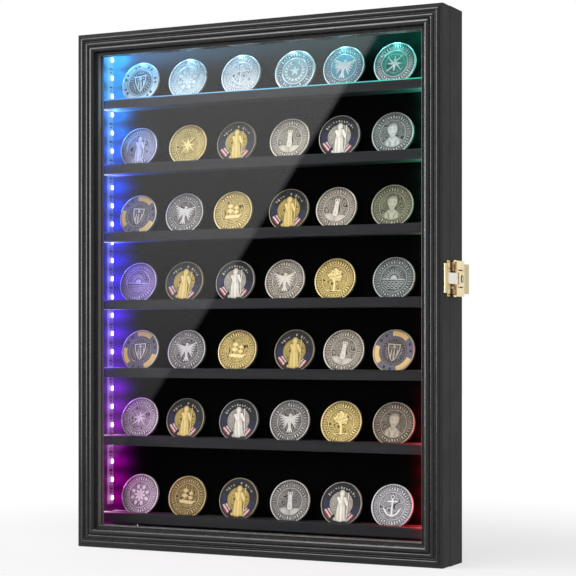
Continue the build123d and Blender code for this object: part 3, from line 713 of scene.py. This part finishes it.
def stripedShield(at):
    half = 6.0 * np.sqrt(np.clip((at[1] + 8.6) / 10.5, 0, 1))
    inside = np.clip((half - np.abs(at[0])) / 0.5, 0, 1) * np.clip((6.6 - at[1]) / 0.5, 0, 1)
    core = np.clip((half - 1.0 - np.abs(at[0])) / 0.5, 0, 1) * np.clip((5.6 - at[1]) / 0.5, 0, 1)
    stripes = (0.5 + 0.5 * np.sign(np.sin(2.3 * at[0]))) * (at[1] < 1.6)
    stripes += dome(at, 0, 3.6, 1.7) * (at[1] >= 1.6)
    return inside * (1 - core) + 0.7 * core * stripes + 0.4 * limb(folded(at, 24), 8.6, 0, 10.2, 0, 0.45)


def sunOverSea(at):
    rays = folded(at, 22)
    sun = stack(dome(at, 0, 0, 3.6), 0.7 * limb(rays, 4.6, 0, 9.6, 0, 0.55, 0.2)) * (at[1] > -0.4)
    return stack(sun, 0.7 * limb(at, -10.4, -0.8, 10.4, -0.8, 0.5), waves(at, -2.6, 5))


def petals(at):
    inner, outer = folded(at, 8), folded(at, 8, 22.5)
    return stack(dome(inner, 3.6, 0, 2.6, 1.25), 0.8 * dome(outer, 7.8, 0, 2.6, 1.9), dome(at, 0, 0, 1.4),
                 0.5 * band(at, 10.4, 11.0))


def borderMarks(at, seed, low, high, count, gaps=0.12):
    # Strokes of uneven length around the edge, with a few left out
    cut = np.random.RandomState(seed)
    turn = (np.arctan2(at[1], at[0]) / (2 * math.pi) + 1 / (2 * count)) % 1
    index = np.floor(turn * count).astype(int) % count
    tops = low + (high - low) * cut.uniform(0.55, 1, count)[index]
    bottoms = low + (high - low) * cut.uniform(0, 0.45, count)[index]
    shown = cut.rand(count)[index] > gaps
    radius, across = folded(at, count)
    inside = np.clip((radius - bottoms) / 0.3, 0, 1) * np.clip((tops - radius) / 0.3, 0, 1)
    return inside * np.clip((0.62 - np.abs(across)) / 0.3, 0, 1) * shown


def plainBorder(at, seed):
    beads = 0.8 * dome(folded(at, 50), 17.0, 0, 0.55)
    return stack(borderMarks(at, seed, 12.8, 16.4, 38), 0.8 * band(at, 11.4, 12.1, 0.2), beads)


enamel = {"black": (0.006, 0.006, 0.008), "navy": (0.012, 0.014, 0.055), "red": (0.42, 0.015, 0.03),
          "white": (0.75, 0.72, 0.72), "orange": (1.0, 0.66, 0.22), "bone": (0.5, 0.48, 0.44),
          "slate": (0.16, 0.145, 0.21), "mauve": (0.3, 0.26, 0.36), "ink": (0.012, 0.012, 0.03),
          "stud": (0.012, 0.02, 0.05), "night": (0.03, 0.06, 0.12), "shade": (0.012, 0.025, 0.05),
          "ring": (0.04, 0.08, 0.12)}
# Middle and border of the coins that are enamelled all over
enamelTones = {"etched": ((0.3, 0.45, 0.5), (0.04, 0.08, 0.11)),
               "blue": ((0.05, 0.3, 0.45), (0.06, 0.22, 0.32)), "green": ((0.03, 0.24, 0.2), None)}


def laidPaint(at):
    return np.zeros(at[0].shape + (4,))


def fill(paint, mask, color, strength=1.0):
    for channel in range(3):
        paint[..., channel] = np.where(mask > 0.5, color[channel], paint[..., channel])
    paint[..., 3] = np.where(mask > 0.5, strength, paint[..., 3])


def ringedCoin(at, seed, motif):
    # An enamelled ring around a bright middle, with striped ribbons low on both sides
    picture = motif(at, 1.12)
    marks = borderMarks(at, seed, 12.2, 15.6, 34, 0.1) * sector(at, 25, 155)
    ribbons = band(at, 11.2, 16.6) * (sector(at, 200, 234) + sector(at, 292, 322))
    sides = band(at, 10.6, 16.6) * (sector(at, 165, 200) + sector(at, 322, 355))
    lines = band(at, 10.1, 10.7, 0.2)
    height = np.where(disc(at, 10.0) > 0.3, press(at, seed, picture, 0.5, 0.35), 0.1)
    height = np.where(picture > raised, 0.45 + 0.55 * picture, stack(height, marks, lines, 0.4 * ribbons))
    paint = laidPaint(at)
    plain = ~((picture > raised) | (marks > 0.4) | (lines > 0.4))
    stripe = np.sin(2.3 * (at[0] * np.where(at[0] < 0, 0.75, -0.75) + at[1] * 0.66)) > 0
    fill(paint, (band(at, 10.6, 17.9) > 0.5) & plain, enamel["black"])
    fill(paint, (sides > 0.5) & plain, enamel["navy"])
    fill(paint, (ribbons > 0.5) & stripe & plain, enamel["red"])
    fill(paint, (ribbons > 0.5) & ~stripe & plain, enamel["white"])
    fill(paint, outline(picture), enamel["black"], 0.7)
    fill(paint, marks > 0.4, enamel["bone"], 0.6)
    return height, paint


def chipCoin(at, seed, motif):
    # Three long coloured inlays around a darkened middle, with studs between them
    inlays = stack(*(sector(at, start, start + 56) for start in (47, 167, 287)))
    studs = stack(*(dome(at, *polar(15.4, degrees), 1.1, 1.3) for degrees in (5, 27, 124, 147, 245, 267)))
    picture = motif(at)
    height = press(at, seed, picture) * disc(at, 10.6)
    height = stack(height, 0.9 * band(at, 10.7, 11.6), 0.6 * band(at, 12.6, 17.9) * inlays)
    paint = laidPaint(at)
    fill(paint, band(at, 11.6, 18.4) > 0.5, enamel["slate"])
    fill(paint, (band(at, 13.2, 18.4) > 0.5) & (inlays > 0.5), enamel["orange"])
    fill(paint, (disc(at, 10.9) > 0.5) & (height < 0.45), enamel["mauve"], 0.75)
    fill(paint, outline(picture, 2), enamel["ink"], 0.92)
    fill(paint, studs > 0.1, enamel["ink"])
    return height, paint


def struckCoin(at, seed, motif):
    return press(at, seed, stack(motif(at), plainBorder(at, seed))), laidPaint(at)


def dottedCoin(at, seed, motif):
    # Pairs of dark studs around the edge and a darkened motif
    picture, ring = motif(at), band(at, 11.9, 12.7)
    studs = stack(dome(folded(at, 7, 7), 15.4, 0, 1.3), dome(folded(at, 7, -8), 15.6, 0, 1.1))
    paint = laidPaint(at)
    fill(paint, studs > 0.1, enamel["stud"])
    lines = (scroll(at, seed) > 0.3) & (disc(at, 8.4) > 0.5)
    fill(paint, (picture <= raised) & lines, enamel["night"], 0.85)
    fill(paint, outline(picture, 3), enamel["shade"], 0.95)
    fill(paint, outline(ring, 2), enamel["ring"], 0.7)
    return press(at, seed, stack(picture, 0.7 * ring), 0.6, 0.2), paint


def enamelCoin(at, seed, motif, middle, border):
    picture = stack(motif(at), plainBorder(at, seed))
    paint = laidPaint(at)
    fill(paint, (disc(at, 11.6) > 0.5) & (picture < 0.3), middle, 0.85)
    if border:
        fill(paint, (band(at, 12.5, 16.8) > 0.5) & (picture < 0.3), border, 0.75)
    return press(at, seed, picture), paint


# What stands where, from the lowest row up and from the left: strike, motif and metal
coinRows = [row.split(", ") for row in (
    ("struck petals rose, struck sailShip oldGold, ringed robedFigure brightGold, "
     "struck hillTower antique, ringed robedFigure ivory, struck anchorMark silver"),
    ("struck compassRose rose, ringed robedFigure brightGold, ringed robedFigure ivory, "
     "struck spreadBird antique, struck leafyTree gold, struck bust bronze"),
    ("chip stripedShield nickel, struck spreadBird antique, struck sailShip gold, "
     "ringed robedFigure brightGold, struck hillTower nickel, chip stripedShield bronze"),
    ("struck sunOverSea violet, ringed robedFigure brightGold, ringed robedFigure ivory, "
     "struck spreadBird nickel, struck leafyTree gold, struck sunOverSea grey"),
    ("chip stripedShield nickel, struck spreadBird antique, struck sailShip gold, "
     "ringed robedFigure brightGold, struck hillTower nickel, struck bust brassGrey"),
    ("struck robedFigure lavender, struck compassRose gold, ringed robedFigure brightGold, "
     "struck hillTower nickel, ringed robedFigure ivory, struck bust grey"),
    ("dotted stripedShield pale, struck petals pale, struck anchorMark white, "
     "etched leafWreath pale, blue spreadBird silver, green compassRose silver"))]
# Each metal as its ground and its raised parts; its hollows are darker. The darker hollows and paler raised
# parts are partly the struck finish and partly painted shade and highlight of the relief
coinMetals = {
    "silver": ((0.38, 0.38, 0.4), (0.78, 0.78, 0.8)),
    # Bright silver whose blue tint is painted cyan light of the top strip
    "white": ((0.88, 0.92, 0.95), (0.99, 1.0, 1.0)),
    # Bright silver whose blue tint is painted cyan light of the top strip
    "pale": ((0.78, 0.9, 0.94), (0.97, 1.0, 1.0)),
    "gold": ((0.58, 0.44, 0.17), (0.92, 0.75, 0.38)),
    "oldGold": ((0.28, 0.205, 0.09), (0.66, 0.52, 0.27)),
    "nickel": ((0.36, 0.32, 0.27), (0.75, 0.69, 0.6)),
    "antique": ((0.24, 0.225, 0.21), (0.66, 0.635, 0.6)),
    "grey": ((0.19, 0.205, 0.2), (0.55, 0.58, 0.56)),
    "bronze": ((0.2, 0.165, 0.13), (0.53, 0.46, 0.37)),
    "brassGrey": ((0.19, 0.19, 0.13), (0.5, 0.5, 0.38)),
    # Silver tinted by painted violet-blue light of the left strip
    "lavender": ((0.38, 0.38, 0.52), (0.74, 0.74, 0.92)),
    "ivory": ((0.42, 0.385, 0.33), (0.86, 0.8, 0.71)),
    # Silver tinted by painted violet light of the left strip
    "violet": ((0.34, 0.25, 0.56), (0.72, 0.58, 0.94)),
    # Silver tinted by painted magenta light of the left strip
    "rose": ((0.5, 0.37, 0.47), (0.92, 0.78, 0.88)),
    "brightGold": ((0.46, 0.34, 0.11), (0.8, 0.62, 0.26))}
motifs = {make.__name__: make for make in (
    robedFigure, bust, spreadBird, sailShip, hillTower, compassRose, leafyTree, anchorMark, leafWreath,
    stripedShield, sunOverSea, petals)}
strikes = {"struck": struckCoin, "ringed": ringedCoin, "chip": chipCoin, "dotted": dottedCoin}
for name, (middle, border) in enamelTones.items():
    strikes[name] = partial(enamelCoin, middle=middle, border=border)


def coinMaterial(name, ground, high):
    # Struck metal, darker in its hollows and paler on its raised parts, partly its finish and partly painted
    # shade and highlight; enamel lies where the mesh says so
    material, tree = newMaterial("coin" + name.title())
    height = place(tree, "Attribute", attribute_name="relief")["Fac"]
    paint = place(tree, "Attribute", attribute_name="paint")
    smudge = useGroup(tree, wear, {"Size": 3.0})["Smudge"]
    low = tuple((0.07 if high[1] < 0.9 else 0.32) * tone for tone in ground)
    bare = ramp(tree, height + smudge.remap(0.0, 1.0, -0.07, 0.1),
                ((0.04, low), (0.4, ground), (0.52, ground), (0.9, high)))
    return surface(material, {
        "Base Color": mixColor(tree, paint["Alpha"], bare, paint["Color"]),
        "Metallic": 1.0 - paint["Alpha"],
        "Roughness": smudge.remap(0.0, 1.0, 0.4, 0.52),
        "Normal": bump(tree, noise(tree, here(tree), 900.0, 3.0, 0.6), 0.5, 0.00015)})


def newMesh(name, points, faces, materials, sharp=None):
    mesh = bpy.data.meshes.new(name)
    mesh.from_pydata(points, [], faces)
    if sharp:
        mesh.shade_smooth()
        mesh.set_sharp_from_angle(angle=math.radians(sharp))
    for material in materials:
        mesh.materials.append(material)
    return mesh


def webFaces(rings, spokes):
    # Point 0 is the middle of the web, and the points of each ring follow
    faces = [(0, 1 + j, 1 + (j + 1) % spokes) for j in range(spokes)]
    for i in range(rings - 1):
        a, b = 1 + i * spokes, 1 + (i + 1) * spokes
        faces += [(a + j, b + j, b + (j + 1) % spokes, a + (j + 1) % spokes) for j in range(spokes)]
    return faces


def strikeCoin(kind, radius, finishes):
    strike, motif, metal = kind.split()
    look = coinLook
    spokes, rings, rim, edge, dip = (look[key] for key in ("spokes", "rings", "rim", "edge", "dip"))
    top, bottom = look["thick"] / 2, -look["thick"] / 2
    turn = np.arange(spokes) / spokes * 2 * math.pi
    reach = np.linspace(0.45, radius - rim - edge, rings)
    at = (np.outer(reach, np.cos(turn)), np.outer(reach, np.sin(turn)))
    height, paint = strikes[strike](at, sum(map(ord, kind)), motifs[motif])
    height = np.clip(height, 0, 1)
    height[-1], paint[-1, :, 3] = 0, 0
    if strike == "ringed":
        paint[-1] = (*enamel["black"], 1)
    reeds = np.where(np.arange(spokes) % 2, look["reeds"], 0.0)
    outside = [(radius - rim, top), (radius - edge, top), (radius, top - edge), (radius, bottom + edge),
               (radius - edge, bottom), (radius - rim, bottom), (radius - look["sole"], bottom + dip),
               (look["hub"], bottom + dip)]
    points = [np.array([[0, 0, top - look["field"]]])]
    for x, y, lift in zip(*at, height):
        points.append(np.stack((x, y, top - look["field"] + (look["field"] - 0.04) * lift), axis=1))
    for around, z in outside:
        ring = around - (reeds if around == radius else 0)
        points.append(np.stack((ring * np.cos(turn), ring * np.sin(turn), np.full(spokes, z)), axis=1))
    points.append(np.array([[0, 0, bottom + dip]]))
    points = np.concatenate(points)
    last = len(points) - 1
    end = last - spokes
    faces = webFaces(rings + len(outside), spokes)
    faces += [(last, end + (j + 1) % spokes, end + j) for j in range(spokes)]
    name = "coin_" + "_".join(kind.split())
    mesh = newMesh(name, (points / 1000).tolist(), faces, [finishes[metal]], look["sharp"])
    struck = 1 + rings * spokes
    relief = np.ones(last + 1)
    relief[0] = 0
    relief[1:struck] = height.ravel()
    relief[end - 1:] = 0.4
    mesh.attributes.new("relief", "FLOAT", "POINT").data.foreach_set("value", relief)
    colors = np.zeros((last + 1, 4))
    colors[1:struck] = paint.reshape(-1, 4)
    if strike == "ringed":
        colors[struck:struck + spokes] = (*enamel["black"], 1)
        colors[struck + spokes:struck + 3 * spokes] = (0.4, 0.4, 0.38, 0.5)
    mesh.attributes.new("paint", "FLOAT_COLOR", "POINT").data.foreach_set("color", colors.ravel())
    return mesh


def layOutCoins():
    finishes = {name: coinMaterial(name, *tones) for name, tones in coinMetals.items()}
    lean = math.radians(coinLook["lean"])
    sine, cosine = math.sin(lean), math.cos(lean)
    stand = Matrix(((1, 0, 0), (0, sine, -cosine), (0, cosine, sine))).to_4x4()
    turner = np.random.RandomState(coinLook["seed"])
    struck = {}
    for row, kinds in enumerate(coinRows, start=1):
        name = f"coin_row_{row}"
        node = nodes[name]
        # The widest gaps along the row part its coins
        spots = np.array([node.matrix_world @ vertex.co for vertex in node.data.vertices])
        spots = spots[np.argsort(spots[:, 0])]
        gaps = np.argsort(np.diff(spots[:, 0]))[1 - len(kinds):]
        groups = np.split(spots, np.sort(gaps) + 1)
        for column, (kind, group) in enumerate(zip(kinds, groups), start=1):
            low, high = group.min(axis=0), group.max(axis=0)
            if kind not in struck:
                struck[kind] = strikeCoin(kind, (high[0] - low[0]) * 500, finishes)
            coin = addObject(f"coin_{row}_{column}", struck[kind])
            spin = Matrix.Rotation(math.radians(turner.uniform(-1, 1) * coinLook["tilt"]), 4, "Z")
            coin.matrix_world = Matrix.Translation(Vector((low + high) / 2)) @ stand @ spin
            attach(coin, "case")
            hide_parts(name)


layOutCoins()
print("coins struck", len(coinRows) * len(coinRows[0]))


# Screws: domed heads with a crossed recess; lengths in millimetres
screwLook = {"radius": 2.1, "high": 0.9, "recess": 0.55, "slot": 0.3, "reach": 1.35, "dome": 3.6,
             "rings": 14, "spokes": 48, "seed": 5, "turn": (0.35, 1.1), "sharp": 40}
hangerPlaces = [(x + side, 24.1, 450.5) for x in (-110, 110) for side in (-19.5, 19.5)]
hingePlaces = [(-171.2, z + side) for z in (70, 390) for side in (-10.5, 10.5)]
latchHeight = 236.2
screwSpots = (
    ("hanger_screws", "case", "y", "screwZinc", hangerPlaces),
    ("hinge_screws_case", "case", "-y", "screwPlate", [(x, -4.15, z) for x, z in hingePlaces]),
    ("hinge_screws_door", "door", "y", "screwPlate", [(x, -6.35, z) for x, z in hingePlaces]),
    ("latch_screws", "case", "x", "screwPlate", [(175.8, 11.6, latchHeight + z) for z in (-9.3, 9.3)]),
    ("boss_screw", "case", "x", "screwDark", [(178.0, 8.3, latchHeight)]),
    ("strike_screws", "door", "x", "screwPlate", [(175.6, -9.9, latchHeight + z) for z in (-10.6, 10.6)]))


def screwShape():
    look = screwLook
    spokes, radius = look["spokes"], look["radius"]
    turn = np.arange(spokes) / spokes * 2 * math.pi
    inner = np.linspace(0.12, look["reach"] + 0.15, look["rings"] - 4)
    reach = np.concatenate((inner, [1.75, 2.0, radius, radius]))
    x, y = np.outer(reach, np.cos(turn)), np.outer(reach, np.sin(turn))
    crown = look["high"] * np.sqrt(np.clip(1 - (reach / look["dome"]) ** 2, 0, 1))
    crown -= (reach / radius) ** 8 * 0.35
    crown[-1] = 0
    arms = np.clip((look["slot"] - np.minimum(np.abs(x), np.abs(y))) / 0.14, 0, 1)
    cut = arms * np.clip((look["reach"] - reach) / 0.15, 0, 1)[:, None]
    z = crown[:, None] - look["recess"] * cut
    points = [(0, 0, look["high"] - look["recess"])] + np.stack((x, y, z), axis=2).reshape(-1, 3).tolist()
    return np.array(points) / 1000, webFaces(len(reach), spokes)


def driveScrews():
    finishes = {"screwZinc": zinc, "screwPlate": screwPlate, "screwDark": screwDark}
    shape, faces = screwShape()
    turner = np.random.RandomState(screwLook["seed"])
    heads = {"x": Vector((1, 0, 0)), "y": Vector((0, 1, 0)), "-y": Vector((0, -1, 0))}
    for name, body, axis, finish, spots in screwSpots:
        points, built = [], []
        for spot in spots:
            spin = Matrix.Rotation(turner.uniform(*screwLook["turn"]), 3, "Z")
            turn = heads[axis].to_track_quat("Z", "Y").to_matrix() @ spin
            built += [tuple(k + len(points) for k in face) for face in faces]
            points += [tuple(turn @ Vector(point) + Vector(spot) / 1000) for point in shape]
        screws = addObject(name, newMesh(name, points, built, [finishes[finish]], screwLook["sharp"]))
        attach(screws, body)
        "brass" if finish != "screwZinc" else "zinc_steel"


driveScrews()

# Lamps: square white bodies with a round lit window, and small parts between them; in millimetres
# A part or pad has a width, length and height; "between" says how far along and across each one stands
chipLook = {"side": 4.6, "window": 4.1, "sunk": 0.25, "corner": 0.45, "step": 0.12, "corners": 24,
            "part": (0.9, 1.7, 0.5), "pad": (1.7, 2.2, 0.06), "taper": (0.86, 0.9, 0.85),
            "between": ((5.2, 0.0, "part"), (8.33, -1.9, "pad"), (8.33, 1.9, "pad"), (8.33, 0.0, "pad"))}


def lampPlaces(side):
    low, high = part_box("lamps_" + side)
    for index in range(stripLook[side]["lamps"]):
        spot = (low + high) / 2
        spot[stripLook[side]["axis"]] = firstLamp[side] + index * lampLook["pitch"]
        yield spot


chipTurns = [2 * math.pi * (k + 0.5) / chipLook["corners"] for k in range(chipLook["corners"])]
chipCompass = [(math.cos(turn), math.sin(turn)) for turn in chipTurns]


def roundRing(radius):
    return [(radius * u, radius * v) for u, v in chipCompass]


def squareRing(half):
    ring = []
    for u, v in chipCompass:
        scale = min(half / max(abs(u), abs(v)), (2 * half - chipLook["corner"]) / (abs(u) + abs(v)))
        ring.append((u * scale, v * scale))
    return ring


def blockRings(size, shift):
    u, v = size[0] / 2, size[1] / 2
    ring = [(-u, shift - v), (u, shift - v), (u, shift + v), (-u, shift + v)]
    wide, long, high = chipLook["taper"]
    top = [(a * wide, b * long + shift * (1 - long)) for a, b in ring]
    return [ring, ring, top], [0, size[2] * high, size[2]]


def buildStripParts(side):
    low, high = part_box("lamps_" + side)
    out = Vector(stripLook[side]["inward"])
    along = Vector((1, 0, 0)) if side == "top" else Vector((0, 0, 1))
    across = out.cross(along)
    tall = abs(out.dot(high - low)) * 1000
    materials = {"body": lampMaterial(side, "Body"), "window": lampMaterial(side),
                 "part": partInk, "pad": copperPad}
    points, faces, kinds = [], [], []

    def put(center, rings, heights, finishes):
        # Rings of corners that follow each other outwards, closed by the last one
        start, n = len(points), len(rings[0])
        for ring, height in zip(rings, heights):
            points.extend(center + (along * u + across * v + out * height) / 1000 for u, v in ring)
        for i in range(len(rings) - 1):
            a, b = start + i * n, start + (i + 1) * n
            faces.extend((a + j, a + (j + 1) % n, b + (j + 1) % n, b + j) for j in range(n))
            kinds.extend([finishes[i]] * n)
        faces.append(tuple(start + (len(rings) - 1) * n + j for j in range(n)))
        kinds.append(finishes[-1])

    half, radius = chipLook["side"] / 2, chipLook["window"] / 2
    body = [squareRing(half)] * 2 + [squareRing(half * 0.95), roundRing(radius), roundRing(radius * 0.93)]
    heights = [0, tall - chipLook["step"], tall, tall, tall - chipLook["sunk"]]
    places = list(lampPlaces(side))
    for spot in places:
        base = spot - out * tall / 2000
        put(base, body, heights, ["body"] * 3 + ["window"] * 2)
        if spot != places[-1]:
            for shift, lean, kind in chipLook["between"]:
                put(base + along * shift / 1000, *blockRings(chipLook[kind], lean), [kind] * 3)
    mesh = newMesh("lamp_bodies_" + side, points, faces, materials.values())
    slots = list(materials)
    mesh.polygons.foreach_set("material_index", [slots.index(kind) for kind in kinds])
    bodies = addObject("lamp_bodies_" + side, mesh)
    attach(bodies, "case")
    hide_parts("lamps_" + side)


for side in hueLook:
    buildStripParts(side)
print("screws and lamp bodies made")


# Light: soft boxes, sheets that show only in gloss, a pale surround, and the lamps of the strips
# Boxes and sheets stand at an angle to the left of straight ahead and a height, in degrees, then at a
# distance, with a size in metres and a level
caseMiddle = Vector((0, 0, 0.23))
boxLook = {"leftBox": (68, 14, 2.2, (0.9, 1.6), 5.0), "aboveBox": (26, 58, 2.2, (1.6, 0.8), 5.0),
           "rightBox": (-50, 35, 2.2, (1.2, 1.2), 1.2)}
sheetLook = {"glossLeft": (67, 10, 2.4, (1.8, 2.2), 12.0), "glossAbove": (24, 56, 2.4, (2.2, 1.8), 13.0)}
surroundLevel = 0.35
spotLook = {"power": 0.03, "lift": 0.0035, "cone": 150, "blend": 0.6, "soft": 0.003}


def standAt(thing, side, height, away):
    side, height = math.radians(side), math.radians(height)
    aim = Vector((-math.sin(side) * math.cos(height), -math.cos(side) * math.cos(height), math.sin(height)))
    thing.location = caseMiddle + aim * away
    thing.rotation_euler = aim.to_track_quat("Z", "Y").to_euler()


def softBox(name, side, height, away, size, level):
    data = bpy.data.lights.new(name, "AREA")
    data.shape = "RECTANGLE"
    data.size, data.size_y = size
    data.energy = level * size[0] * size[1] * math.pi
    box = addObject(name, data)
    standAt(box, side, height, away)
    hide(box, "camera", "glossy")


def flatSheet(name, corners, material):
    sheet = addObject(name, newMesh(name, corners, [(0, 1, 2, 3)], [material]))
    return sheet


def rectangle(wide, long):
    x, y = wide / 2, long / 2
    return [(-x, -y, 0), (x, -y, 0), (x, y, 0), (-x, y, 0)]


def glossSheet(name, side, height, away, size, level):
    # Bright in its middle and soft towards its edges
    material, tree = newMaterial(name)
    wide, long = (abs(at).remap(span * 0.3, span * 0.5, 1.0, 0.0) for at, span in zip(axes(tree), size))
    place(tree, "OutputMaterial", {0: glow(tree, wide * long * (level - 1.0) + 1.0)})
    sheet = flatSheet(name, rectangle(*size), material)
    standAt(sheet, side, height, away)
    hide(sheet, "camera", "diffuse", "shadow", "transmission", "volume_scatter")


def paleRays(tree):
    # What the camera, metal and glass see is as pale as the surround
    path = place(tree, "LightPath")
    return largest(path["Is Camera Ray"], path["Is Glossy Ray"], path["Is Transmission Ray"])


def makeSurround():
    world = bpy.data.worlds.new("surround")
    world.use_nodes = True
    tree = world.node_tree
    tree.nodes.clear()
    plain = place(tree, "Background", {"Color": white, "Strength": surroundLevel})
    bright = place(tree, "Background", {"Color": white, "Strength": 1.0})
    place(tree, "OutputWorld", {0: place(tree, "MixShader", {0: paleRays(tree), 1: plain, 2: bright})})
    bpy.context.scene.world = world


def sampleRamp(stops, share):
    for (a, low), (b, high) in zip(stops, stops[1:]):
        if share <= b:
            t = max(0.0, (share - a) / (b - a))
            return [x + (y - x) * t for x, y in zip(low, high)]
    return list(stops[-1][1])


def lampLights(side):
    # One small light in front of each lamp, so that what stands near takes its colour
    axis, (low, high) = stripLook[side]["axis"], stripLook[side]["ends"]
    inward = Vector(stripLook[side]["inward"])
    for index, spot in enumerate(lampPlaces(side)):
        data = bpy.data.lights.new(f"lamp_{side}_{index}", "SPOT")
        data.spot_size = math.radians(spotLook["cone"])
        data.spot_blend = spotLook["blend"]
        data.color = sampleRamp(hueLook[side], (spot[axis] - low) / (high - low))
        data.energy = spotLook["power"]
        data.shadow_soft_size = spotLook["soft"]
        lamp = addObject(data.name, data)
        lamp.location = spot + inward * spotLook["lift"]
        lamp.rotation_euler = (-inward).to_track_quat("Z", "Y").to_euler()
        hide(lamp, "camera", "transmission")


for name, look in boxLook.items():
    softBox(name, *look)
makeSurround()
for side in hueLook:
    lampLights(side)

# Floor, the dark cloth that the pane mirrors, and the grey card that the side wall and the latch mirror
floorLook = {"size": 8.0, "color": 0.86, "roughness": 0.9, "share": 0.6, "white": 1.08, "clear": (0.3, 0.75)}
clothLook = {"front": -1.0, "low": (-0.677, 0.103), "high": (-0.310, 0.622), "soft": 0.005,
             "bright": 1.0, "dim": 0.18, "dark": 0.004,
             "wide": (-1.0, 0.1), "tall": (-0.02, 0.75), "apron": (0.165, -0.06, 0.001)}
cardLook = {"from": (0.37, 1.25), "to": (0.95, 1.2), "base": 0.002, "high": 0.85, "tone": (0.76, 0.92),
            "apron": (0.18, 0.3, 0.03)}


def makeFloor():
    material, tree = newMaterial("floor")
    tone = floorLook["color"]
    body = place(tree, "BsdfPrincipled", {"Base Color": (tone, tone, tone), "Specular IOR Level": 0.0,
                                          "Roughness": floorLook["roughness"]})
    away = place(tree, "VectorMath", {0: here(tree)}, operation="LENGTH")["Value"]
    share = paleRays(tree) * away.remap(*floorLook["clear"], floorLook["share"], 1.0)
    mixed = place(tree, "MixShader", {0: share, 1: body, 2: glow(tree, floorLook["white"])})
    place(tree, "OutputMaterial", {0: mixed})
    flatSheet("floor", rectangle(floorLook["size"], floorLook["size"]), material)


def makeCloth():
    # A dark cloth hung beside the camera, lit above a slanting line; only mirrors see it
    look = clothLook
    material, tree = newMaterial("cloth")
    (lowX, lowZ), (highX, highZ) = look["low"], look["high"]
    run = math.hypot(highX - lowX, highZ - lowZ)
    across = (-(highZ - lowZ) / run, 0.0, (highX - lowX) / run)
    moved = place(tree, "VectorMath", {0: here(tree), 1: (lowX, 0.0, lowZ)}, operation="SUBTRACT")
    side = place(tree, "VectorMath", {0: moved, 1: across}, operation="DOT_PRODUCT")["Value"]
    fall = axes(tree)[2].remap(lowZ - 0.1, highZ, look["dim"], look["bright"])
    lit = side.remap(-look["soft"], look["soft"]) * fall
    strength = lit.math("MAXIMUM", lit, look["dark"])
    # The pane's own two faces see it; a coin's mirror image, which leaves through the pane again, does not
    path = place(tree, "LightPath")
    shown = path["Is Singular Ray"] * (path["Transmission Depth"] < 2.5) * (path["Glossy Depth"] > 0.5)
    clear = place(tree, "BsdfTransparent")
    mixed = place(tree, "MixShader", {0: shown, 1: clear, 2: glow(tree, strength)})
    place(tree, "OutputMaterial", {0: mixed})
    y, (left, right), (low, high), (x, near, z) = look["front"], look["wide"], look["tall"], look["apron"]
    hung = [(left, y, low), (right, y, low), (right, y, high), (left, y, high)]
    cloth = flatSheet("cloth", hung, material)
    apron = flatSheet("apron", [(left, y, z), (right, y, z), (x, near, z), (-x, near, z)], material)
    for sheet in (cloth, apron):
        hide(sheet, "camera", "diffuse", "shadow", "volume_scatter")


def makeCard():
    # A grey card behind on the right, so that the side wall and the latch have something dark to mirror
    material, tree = newMaterial("card")
    fold = noise(tree, here(tree), 3.0, 2.0)
    place(tree, "OutputMaterial", {0: glow(tree, fold.remap(0.3, 0.7, *cardLook["tone"]))})
    start, end, low, high = cardLook["from"], cardLook["to"], cardLook["base"], cardLook["high"]
    left, right, y = cardLook["apron"]
    card = flatSheet("card", [(*start, low), (*end, low), (*end, high), (*start, high)], material)
    apron = flatSheet("cardApron", [(left, y, low), (right, y, low), (*end, low), (*start, low)], material)
    for sheet in (card, apron):
        hide(sheet, "camera", "diffuse", "shadow", "transmission", "volume_scatter")


makeFloor()
makeCloth()
makeCard()
for name, look in sheetLook.items():
    glossSheet(name, *look)
print("light and floor made")
